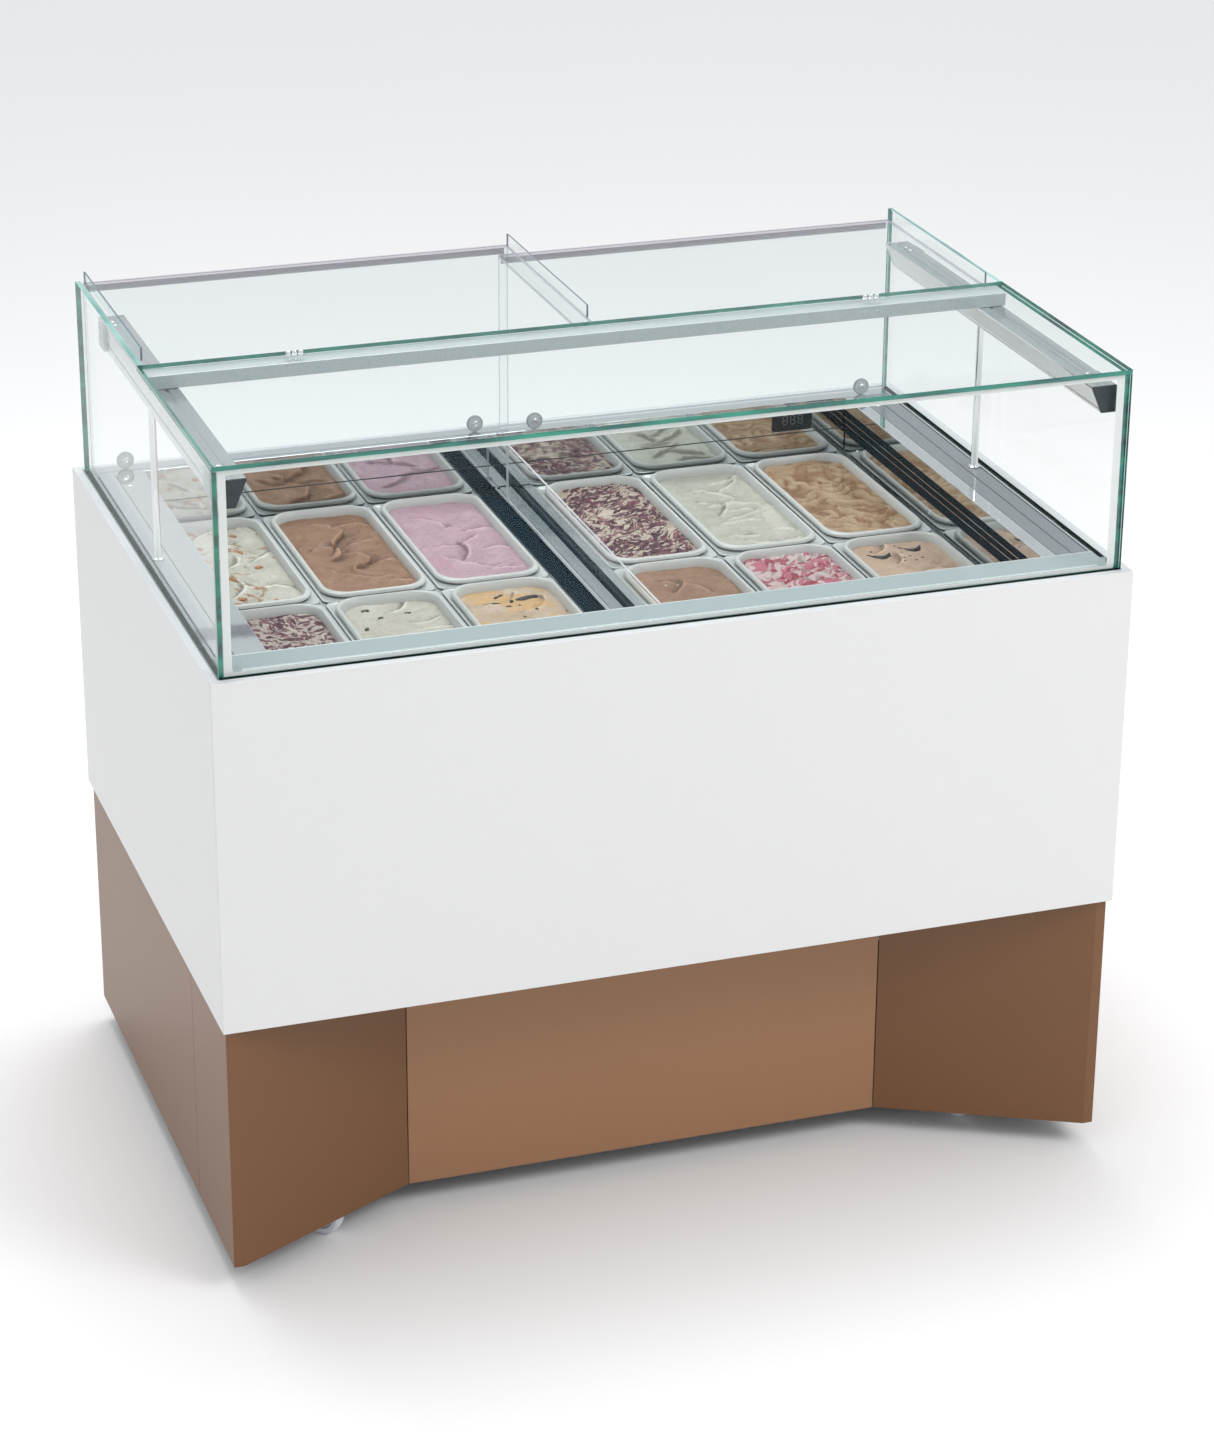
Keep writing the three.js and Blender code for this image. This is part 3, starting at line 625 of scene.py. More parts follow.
def build_well():
    well_x = abs(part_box("right_wall_strip")[1].x) + 0.002
    well_y = (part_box("pan_frame")[0].y - 0.002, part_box("pan_frame")[1].y + 0.002)
    well_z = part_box("pan_frame")[0].z - 0.002

    def liner(centre, normal, area):
        inside = abs(centre.x) < well_x and well_y[0] < centre.y < well_y[1]
        return 1 if inside and centre.z > well_z else 0

    dressed("insulated_tank", [FOAM, MIRROR], 0.0006, choose=liner)
    dressed("top_deck", [DECK], 0.0008)
    dressed("pan_frame", [STEEL], 0.0006)

    build_wall_strips()
    build_bridge()
    dressed("centre_divider", [ACRYLIC, ACRYLIC_EDGE], 0.0006, choose=facing(0))
    build_display()
    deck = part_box("top_deck")
    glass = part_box("front_glass")
    deck_opening_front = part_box("pan_frame")[0].y + 0.0005
    front, rear = glass[1].y + 0.0003, deck_opening_front - 0.0003
    for name, y0, y1, height, look in (
        ("front_ledge", front, rear, 0.0012, LEDGE_BAND),
        ("front_ledge_strip", front + 0.012, front + 0.018, 0.0017, LEDGE),
        ("front_ledge_lip", rear - 0.0022, rear, 0.0017, LEDGE),
    ):
        low, high = (-0.6222, y0, deck[1].z), (0.6222, y1, deck[1].z + height)
        block("top_deck", name, low, high, look)
    low, high = (-0.549, 0.3826, 0.8492), (0.549, 0.3836, 0.8504)
    block("insulated_tank", "rear_wall_seam", low, high, RUBBER, 0.0001)
    for side in (-1, 1):
        for k, y in enumerate((-0.25, 0.05, 0.33)):
            node = "left_wall_strip" if side < 0 else "right_wall_strip"
            place = (side * 0.552, y, 0.827)
            screw(node, f"{node}_screw_{k}", place, "x", 0.0035, 0.0014, -side)
        name = "side_band_left" if side < 0 else "side_band_right"
        for part, inner, outer, height, look in (
            # the right band is painted dark as a reflection, the left band keeps the deck's colour
            ("", 0.570, 0.6165, 0.0006, DECK if side < 0 else DECK_BAND_PAINTED_REFLECTION),
            ("_groove", 0.5925, 0.5937, 0.0008, RUBBER), ("_edge", 0.6168, 0.6176, 0.0012, RUBBER),
        ):
            x0, x1 = sorted((side * inner, side * outer))
            low, high = (x0, deck_opening_front, deck[1].z), (x1, 0.378, deck[1].z + height)
            block("top_deck", name + part, low, high, look, 0.0001)
        for m, y in enumerate((0.355, 0.325)):
            place = (side * 0.582, y, deck[1].z + 0.0006)
            screw("top_deck", f"{name}_screw_{m}", place, "z", 0.004, 0.0016)


def build_wall_strips():
    """From below: polished sheet, a step painted dark, two ribs with painted dark between them, a second step
    painted dark and polished sheet. The dark is a painted reflection on the polished steel."""
    for side, node in ((1, "right_wall_strip"), (-1, "left_wall_strip")):
        low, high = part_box(node)
        back = max(abs(low.x), abs(high.x))
        # from height, to height, thickness
        steps = [
            (0.812, 0.842, 0.0035), (0.842, 0.857, 0.0048), (0.857, 0.8583, 0.0055),
            (0.8583, 0.8677, 0.0050), (0.8677, 0.869, 0.0055), (0.869, 0.880, 0.0048),
            (0.880, 0.895, 0.0045),
        ]
        outline = [(side * back, 0.895), (side * back, 0.812)]
        for z0, z1, thick in steps:
            outline += [(side * (back - thick), z0), (side * (back - thick), z1)]

        def look(centre, normal, area):
            if 0.842 < centre.z < 0.857 or 0.869 < centre.z < 0.880:
                return 1
            if 0.8583 < centre.z < 0.8677:
                return 1
            return 2 if 0.857 <= centre.z <= 0.869 else 0

        strip = prism(
            node + "_look", outline, "y", low.y, high.y, [MIRROR, STRIP_PAINTED_REFLECTION, RIBBED], 0.0001, look
        )
        fitted(strip, node, replace=True)


def build_bridge():
    """The stepped bridge: strips painted dark as a reflection and ribbed polished strips side by side."""
    low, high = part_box("centre_bridge")
    base = low.z
    ridge = 0.0006
    top = []
    for x0, x1, z, ribs in (
        (-0.0435, -0.016, base + 0.0022, 0), (-0.016, -0.0125, base + 0.0066, 0),
        (-0.0125, -0.0075, base + 0.0040, 0), (-0.0075, 0.010, base + 0.0066, 7),
        (0.010, 0.029, base + 0.0022, 0), (0.029, 0.0435, base + 0.0050, 6),
    ):
        if ribs:
            step = (x1 - x0) / ribs
            for i in range(ribs):
                a = x0 + i * step
                top += [(a, z - ridge), (a + step * 0.2, z), (a + step * 0.8, z), (a + step, z - ridge)]
        else:
            top += [(x0, z), (x1, z)]
    clean = [top[0]]
    for point in top[1:]:
        if (Vector(point) - Vector(clean[-1])).length > 1e-5:
            clean.append(point)
    outline = [(-0.0435, base), *clean, (0.0435, base)]

    def look(centre, normal, area):
        if centre.z < base + 0.001 or abs(normal.z) < 0.5:
            return 0
        # these strips take the painted dark reflection
        dark = -0.0435 < centre.x < -0.016 or 0.010 < centre.x < 0.029
        return 1 if dark else 0

    bridge = prism("centre_bridge_look", outline, "y", low.y, high.y, [RIBBED, STRIP_PAINTED_REFLECTION], 0, look)
    fitted(bridge, "centre_bridge", replace=True)


def build_display():
    low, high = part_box("temperature_display")
    dressed("temperature_display", [DARK_CAP], 0.0015)
    width, height = 0.0085, 0.0150
    stroke = 0.0016
    bm = bmesh.new()

    def bar(x0, x1, z0, z1):
        add_box(bm, (x0, x1), (low.y - 0.0003, low.y + 0.0002), (z0, z1))

    middle = (low.z + high.z) / 2
    for digit in range(3):
        x = (low.x + high.x) / 2 + (digit - 1) * 0.0125 - width / 2
        z = middle - height / 2
        for row in (0, 0.5, 1):
            zr = z + row * (height - stroke)
            bar(x + stroke, x + width - stroke, zr, zr + stroke)
        for column in (0, 1):
            xc = x + column * (width - stroke)
            for half in (0, 1):
                zh = z + stroke + half * (height - stroke) / 2
                bar(xc, xc + stroke, zh, zh + (height - stroke) / 2 - stroke)
    fitted(from_bmesh("display_digits", bm, [SEGMENT]), "temperature_display")


# ---------- the pans ----------

RIM_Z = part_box("centre_bridge")[0].z + 0.002
LOOP = 168  # points round a pan's rim


def fractal(x, y, scale, seed, octaves=4):
    at = Vector((x * scale, y * scale, seed * 7.13))
    return noise.fractal(at, 0.9, 2.1, octaves, noise_basis="PERLIN_ORIGINAL")


def folds(x, y, seed, count, slant, warp, amount):
    """Layered strokes along the pan, each rising slowly and dropping steeply: height, and painted light that gives
    painted shade low in each fold and a painted highlight on its crest.
    """
    bend = fractal(x, y, 14, seed, 2) * warp
    phase = y * count / 0.34 + slant * x / 0.15 + bend + 6 * x * x / 0.15
    part = phase - math.floor(phase)
    shape = part**1.3 if part < 0.82 else (1 - part) / 0.18 * 0.82**1.3
    return shape * amount, shape


def lip_paths(seed, count, bend):
    """Short curved strokes across the pan, one after the other along it."""
    draw = random.Random(seed)
    paths = []
    for i in range(count):
        x = draw.uniform(-0.05, 0.03)
        y = -0.135 + 0.27 * (i + 0.5) / count + draw.uniform(-0.010, 0.010)
        heading = draw.uniform(-0.5, 0.9)
        curl = draw.choice((-1, 1)) * draw.uniform(9, 24) * bend
        path = []
        for _ in range(draw.randint(7, 10)):
            path.append((x, y))
            x += 0.011 * math.cos(heading)
            y += 0.011 * math.sin(heading)
            heading += curl * 0.011
        paths.append(path)
    return paths


PATH_STEP = 0.0016  # metres between the points of a stroke


def along_path(path):
    """A smooth line through the path's points, and its direction at each step."""
    control = np.array(path)
    lengths = np.linalg.norm(np.diff(control, axis=0), axis=1)
    reached = np.concatenate([[0], np.cumsum(lengths)])
    t = np.linspace(0, reached[-1], int(reached[-1] / PATH_STEP))
    line = np.stack([np.interp(t, reached, control[:, i]) for i in (0, 1)], 1)
    for _ in range(50):
        line[1:-1] = (line[:-2] + 2 * line[1:-1] + line[2:]) / 4
    way = np.gradient(line, axis=0)
    return line, way / np.linalg.norm(way, axis=1)[:, None]


def scoop_marks(points, marks):
    """Lips left by a spatula: a sharp edge that falls away on one side. Returns height and painted light: a
    painted shadow on the fallen side of the lip and a painted highlight beside the ridge.
    """
    height = np.zeros(len(points))
    painted_light = np.zeros(len(points))
    for path, width, dip, ridge in marks:
        line, way = along_path(path)
        gap = points[:, None, :2] - line[None]
        distance = np.linalg.norm(gap, axis=2)
        nearest = distance.argmin(1)
        rows = np.arange(len(points))
        near = gap[rows, nearest]
        way = way[nearest]
        side = way[:, 0] * near[:, 1] - way[:, 1] * near[:, 0]
        reach = distance[rows, nearest]
        fade = np.clip(np.minimum(nearest, len(line) - 1 - nearest) * PATH_STEP / 0.014, 0, 1)
        past_end = np.clip((reach - np.abs(side)) / 0.004, 0, 1)
        fade = fade * (1 - past_end) * (reach < 4 * width)
        fallen = 0.5 + 0.5 * np.tanh(side / 0.0009)
        height -= fade * dip * fallen * np.exp(-((side / width) ** 2))
        height += fade * ridge * (1 - fallen) * np.exp(-((side / width * 2) ** 2))
        # a painted shadow along the lip and over its fallen side, then a painted highlight beside the ridge
        painted_light -= fade * 0.70 * np.exp(-(((side - 0.0018) / 0.0030) ** 2))
        painted_light -= fade * 0.35 * fallen * np.exp(-((side / width) ** 2))
        painted_light += fade * 0.60 * np.exp(-(((side + 0.0024) / 0.0032) ** 2))
    return height, painted_light


def surface(flavour, points):
    """Heights above the mean level and painted light values (0 to 1; low is painted shade, high is painted
    highlight) of the ice cream at points in the pan.
    """
    seed = flavour["seed"]
    heights, painted_light_values = [], []
    for x, y in points[:, :2]:
        height = fractal(x, y, 16, seed) * flavour.get("swell", 0.004)
        height += fractal(x, y, 60, seed + 3) * flavour.get("ripple", 0.0012)
        height += fractal(x, y, 240, seed + 5, 2) * flavour.get("grit", 0.0004)
        # 0.5 paints neither shade nor highlight
        painted_light = 0.5
        if "folds" in flavour:
            rise, painted_light = folds(x, y, seed, *flavour["folds"])
            height += rise
        heights.append(height)
        painted_light_values.append(painted_light)
    marks, mark_painted_light = scoop_marks(points, flavour.get("marks", ()))
    return np.array(heights) + marks, np.array(painted_light_values) + mark_painted_light


def ice_grid(half_x, half_y, radius):
    """A grid that fills a rounded rectangle, each point's distance from its edge, and its size."""
    nx, ny = 84, 190  # cells across and along the pan
    v = np.linspace(-1, 1, ny + 1) * half_y
    corner = np.clip(np.abs(v) - (half_y - radius), 0, radius)
    width = half_x - radius + np.sqrt(radius**2 - corner**2)
    u = np.linspace(-1, 1, nx + 1)
    x = u[None, :] * width[:, None]
    y = np.repeat(v[:, None], nx + 1, axis=1)
    out_x = np.abs(x) - (half_x - radius)
    out_y = np.abs(y) - (half_y - radius)
    outside = np.hypot(np.maximum(out_x, 0), np.maximum(out_y, 0))
    margin = radius - outside - np.minimum(np.maximum(out_x, out_y), 0)
    flat = np.stack([x.ravel(), y.ravel(), np.zeros(x.size)], 1)
    return flat, margin.ravel(), nx + 1, ny + 1


def build_ice_cream(node, flavour, centre, half_x, half_y, radius, level):
    flat, margin, nx, ny = ice_grid(half_x, half_y, radius)
    heights, painted_light_values = surface(flavour, flat)
    hold = np.clip(margin / 0.008, 0, 1)
    hold = hold * hold * (3 - 2 * hold)
    heights = heights * (0.3 + 0.7 * hold) - 0.0012 * (1 - hold)
    top = flat + (*centre, level)
    top[:, 2] += np.minimum(heights, 0.0105)
    base = len(top)
    rim = [i for i in range(nx - 1)]
    rim += [j * nx + nx - 1 for j in range(ny - 1)]
    rim += [(ny - 1) * nx + i for i in range(nx - 1, 0, -1)]
    rim += [j * nx for j in range(ny - 1, 0, -1)]
    bottom = flat[rim] * (0.97, 0.97, 1) + (*centre, level - 0.016)
    verts = np.concatenate([top, bottom])
    faces = []
    for j in range(ny - 1):
        for i in range(nx - 1):
            k = j * nx + i
            faces.append((k, k + 1, k + nx + 1, k + nx))
    count = len(rim)
    for k in range(count):
        m = (k + 1) % count
        faces.append((rim[m], rim[k], base + k, base + m))
    faces.append([base + k for k in range(count)][::-1])
    made = new_object(node + "_ice_cream", verts, faces, [flavour["look"]], smooth_angle=80)
    # the strokes' painted shade and highlight, kept on each point for the material
    painted_light_layer = made.data.attributes.new("painted_light", "FLOAT", "POINT")
    painted_light_values = np.concatenate([painted_light_values, np.full(count, 0.5)])
    painted_light_layer.data.foreach_set("value", painted_light_values.astype(np.float32))
    return fitted(made, node)


def build_chips(node, flavour, centre, level):
    """Pieces lying in the ice cream: flattened lumps with a rough surface."""
    if "chips" not in flavour:
        return
    bm = bmesh.new()
    for n, (x, y, rx, ry, turn) in enumerate(flavour["chips"]):
        lump = bmesh.ops.create_icosphere(bm, subdivisions=3, radius=1)["verts"]
        height = surface(flavour, np.array([[x, y]]))[0][0]
        for v in lump:
            rough = 1 + 0.28 * noise.noise(v.co * 1.7 + Vector((n * 3.1, n, 0)))
            px, py = v.co.x * rx * rough, v.co.y * ry * rough
            if flavour.get("crescent") and n < 2:
                py += 0.9 * px * px / rx
            pz = v.co.z * min(rx, ry) * 0.45 * rough
            c, s = math.cos(turn), math.sin(turn)
            v.co = Vector(
                (
                    centre[0] + x + px * c - py * s, centre[1] + y + px * s + py * c,
                    level + height * 0.9 + pz,
                )
            )
    chips = from_bmesh(node + "_pieces", bm, [flavour["chip_look"]], 60)
    fitted(chips, node)


def build_pan(node, flavour):
    low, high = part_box(node)
    cx, cy = (low.x + high.x) / 2, (low.y + high.y) / 2
    centre = (cx, cy)
    hx, hy = (high.x - low.x) / 2, (high.y - low.y) / 2
    top = RIM_Z

    def loop(inset, r, z):
        return rounded_loop(centre, hx - inset, hy - inset, r, z, LOOP)

    pan = lofted(
        node + "_steel",
        [
            loop(0.016, 0.026, low.z + 0.001), loop(0.011, 0.030, low.z + 0.006),
            loop(0.0085, 0.032, top - 0.003), loop(0.0012, 0.010, top - 0.0020),
            loop(0.0003, 0.010, top - 0.0012), loop(0.0006, 0.010, top - 0.0002),
            loop(0.0020, 0.010, top), loop(0.0040, 0.011, top - 0.0004),
            loop(0.0050, 0.012, top - 0.0009), loop(0.0085, 0.026, top - 0.0010),
            loop(0.0098, 0.031, top - 0.0020), loop(0.0105, 0.031, top - 0.030),
        ],
        [PAN_STEEL],
    )
    fitted(pan, node, replace=True)
    rim = high.z - 0.0003
    tub = lofted(
        node + "_tub",
        [
            loop(0.0135, 0.035, top - 0.028), loop(0.0115, 0.035, top - 0.002),
            loop(0.0080, 0.036, top + 0.0006), loop(0.0056, 0.036, top + 0.0024),
            loop(0.0058, 0.036, rim - 0.0026), loop(0.0072, 0.036, rim - 0.0008),
            loop(0.0094, 0.036, rim), loop(0.0112, 0.035, rim - 0.0003),
            loop(0.0126, 0.034, rim - 0.0020), loop(0.0150, 0.032, rim - 0.0120),
            loop(0.0170, 0.031, rim - 0.0300),
        ],
        [TUB],
    )
    fitted(tub, node)
    level = rim - 0.0115
    build_ice_cream(node, flavour, centre, hx - 0.0150, hy - 0.0150, 0.032, level)
    build_chips(node, flavour, centre, level)


ICE_SHADE = 0.29  # how much every flavour is darkened


def ice_look(name, dark, light, layers=(), painted_light=None, offset=0.0):
    """Ice cream: a mottled base, painted shade and painted highlight along the strokes, streaks and specks of
    other colours, and a fine icy grain.
    """
    look = Look(name)
    at = look.mapped(look.place, {"Location": (offset, offset * 0.7, 0)})
    cloud = look.noise(26.0, 5.0, vector=at)
    colour = look.mix(look.span(cloud, 0.35, 0.65), dark, light)
    # the painted shade colour and the painted highlight colour
    painted_light = painted_light or (shade(dark, 0.50), shade(light, 1.34))
    stroke_painted_light = look.node("Attribute", attribute_name="painted_light").outputs["Fac"]
    wobble = look.math("MULTIPLY_ADD", look.noise(70.0, 4.0, vector=at), 0.5, -0.25)
    level = look.math("ADD", stroke_painted_light, wobble)
    # painted shade where the value is low, painted highlight where it is high
    colour = look.mix(look.span(level, 0.0, 0.45, 0.85, 0.0), colour, painted_light[0])
    colour = look.mix(look.span(level, 0.6, 1.0, 0.0, 0.8), colour, painted_light[1])
    relief = look.math("MULTIPLY", look.noise(60.0, 5.0, 0.6, vector=at), 1.6)
    for layer in layers:
        if layer["kind"] == "shreds":
            bend = look.node("TexNoise", {"Vector": at, "Scale": 17.0, "Detail": 2.0})
            push = look.shift("SUBTRACT", {0: bend.outputs["Color"], 1: (0.5, 0.5, 0.5)})
            push = look.shift("SCALE", {0: push, "Scale": layer["warp"]})
            moved = look.shift("ADD", {0: at, 1: push})
            spread = look.mapped(
                moved,
                {
                    "Scale": (1, layer["length"], 1), "Rotation": (0, 0, layer["turn"]),
                    "Location": (layer["low"], 0, layer["turn"]),
                },
                "TEXTURE",
            )
            value = look.noise(layer["scale"], 1.5, 0.3, vector=spread)
            gate = look.span(look.noise(15.0, 2.0, vector=at), 0.35, 0.65, -0.07, 0.07)
            mask = look.span(look.math("ADD", value, gate), layer["low"], layer["low"] + 0.03)
            relief = look.math("ADD", relief, look.math("MULTIPLY", mask, 0.5))
        elif layer["kind"] == "streaks":
            turns = {"Scale": layer["stretch"], "Rotation": (0, 0, layer["turn"])}
            spread = look.mapped(at, turns)
            value = look.noise(layer["scale"], 4.0, layer["warp"], vector=spread)
            where = look.noise(9.0, 1.0, vector=at)
            gate = look.span(where, 0.35, 0.6, -0.10, 0.05)
            mask = look.span(look.math("ADD", value, gate), layer["low"], layer["high"])
        else:
            inputs = {"Vector": at, "Scale": layer["scale"], "Randomness": 1.0}
            cells = look.node("TexVoronoi", inputs)
            pick = look.node("SeparateColor", {0: cells.outputs["Color"]}).outputs[0]
            wanted = look.math("LESS_THAN", pick, layer["share"])
            wobble = look.noise(layer["scale"] * 5, 2.0, vector=at)
            reach = look.math("MULTIPLY", wobble, layer["size"])
            near = look.math("LESS_THAN", cells.outputs["Distance"], reach)
            mask = look.math("MULTIPLY", near, wanted)
        share = look.math("MULTIPLY", mask, layer["strength"])
        colour = look.mix(share, colour, layer["colour"])
    colour = look.mix(ICE_SHADE, colour, (0.0, 0.0, 0.0))
    grain = look.noise(420.0, 3.0, vector=at)
    lumps = look.noise(95.0, 4.0, vector=at)
    normal = look.bump(relief, 0.75, 0.0030)
    normal = look.bump(grain, 0.25, 0.0006, normal)
    rough = look.span(lumps, 0.3, 0.7, 0.36, 0.58)
    return look.surface(
        Base_Color=colour, Roughness=rough, Specular_IOR_Level=0.4, Subsurface_Weight=0.08,
        Subsurface_Radius=(0.004, 0.003, 0.002), Subsurface_Scale=0.5, Normal=normal,
    )


def layer_maker(kind, *names):
    """A function that takes a layer's values in this order, and an optional strength."""
    return lambda *values, strength=1.0: dict(zip(names, values), kind=kind, strength=strength)


streaks = layer_maker("streaks", "scale", "stretch", "turn", "warp", "low", "high", "colour")
shreds = layer_maker("shreds", "scale", "length", "turn", "warp", "low", "colour")
specks = layer_maker("specks", "scale", "share", "size", "colour")


RAISIN = painted("raisin", (0.045, 0.030, 0.022), 0.4, grain=400, bump=0.2)
COOKIE = painted("dark_biscuit", (0.020, 0.018, 0.018), 0.5, grain=300, bump=0.3)
TOFFEE = painted("toffee_piece", (0.34, 0.15, 0.055), 0.35, grain=300, bump=0.2)

# strokes of the spatula, as points (x, y) from the pan's centre
S_STROKE = [
    (-0.03, 0.135), (0.008, 0.118), (0.022, 0.085), (0.0, 0.058), (-0.014, 0.032), (0.010, 0.012),
    (0.036, -0.008), (0.022, -0.04), (-0.006, -0.058), (0.012, -0.086), (0.044, -0.094),
]
HOOK_STROKE = [(-0.050, 0.020), (-0.030, 0.044), (-0.002, 0.036), (-0.004, 0.004), (-0.030, -0.014)]
LOW_STROKE = [(-0.040, -0.045), (-0.020, -0.082), (0.014, -0.112), (0.044, -0.100)]


def lips(seed, count, width, dip, ridge, bend=1.0):
    return [(path, width, dip, ridge) for path in lip_paths(seed, count, bend)]


def flavour(name, swell, dark, light, layers=(), offset=0.0, painted_light=None, **more):
    look = ice_look("ice_" + name, dark, light, layers, painted_light, offset)
    return dict(look=look, swell=swell, **more)


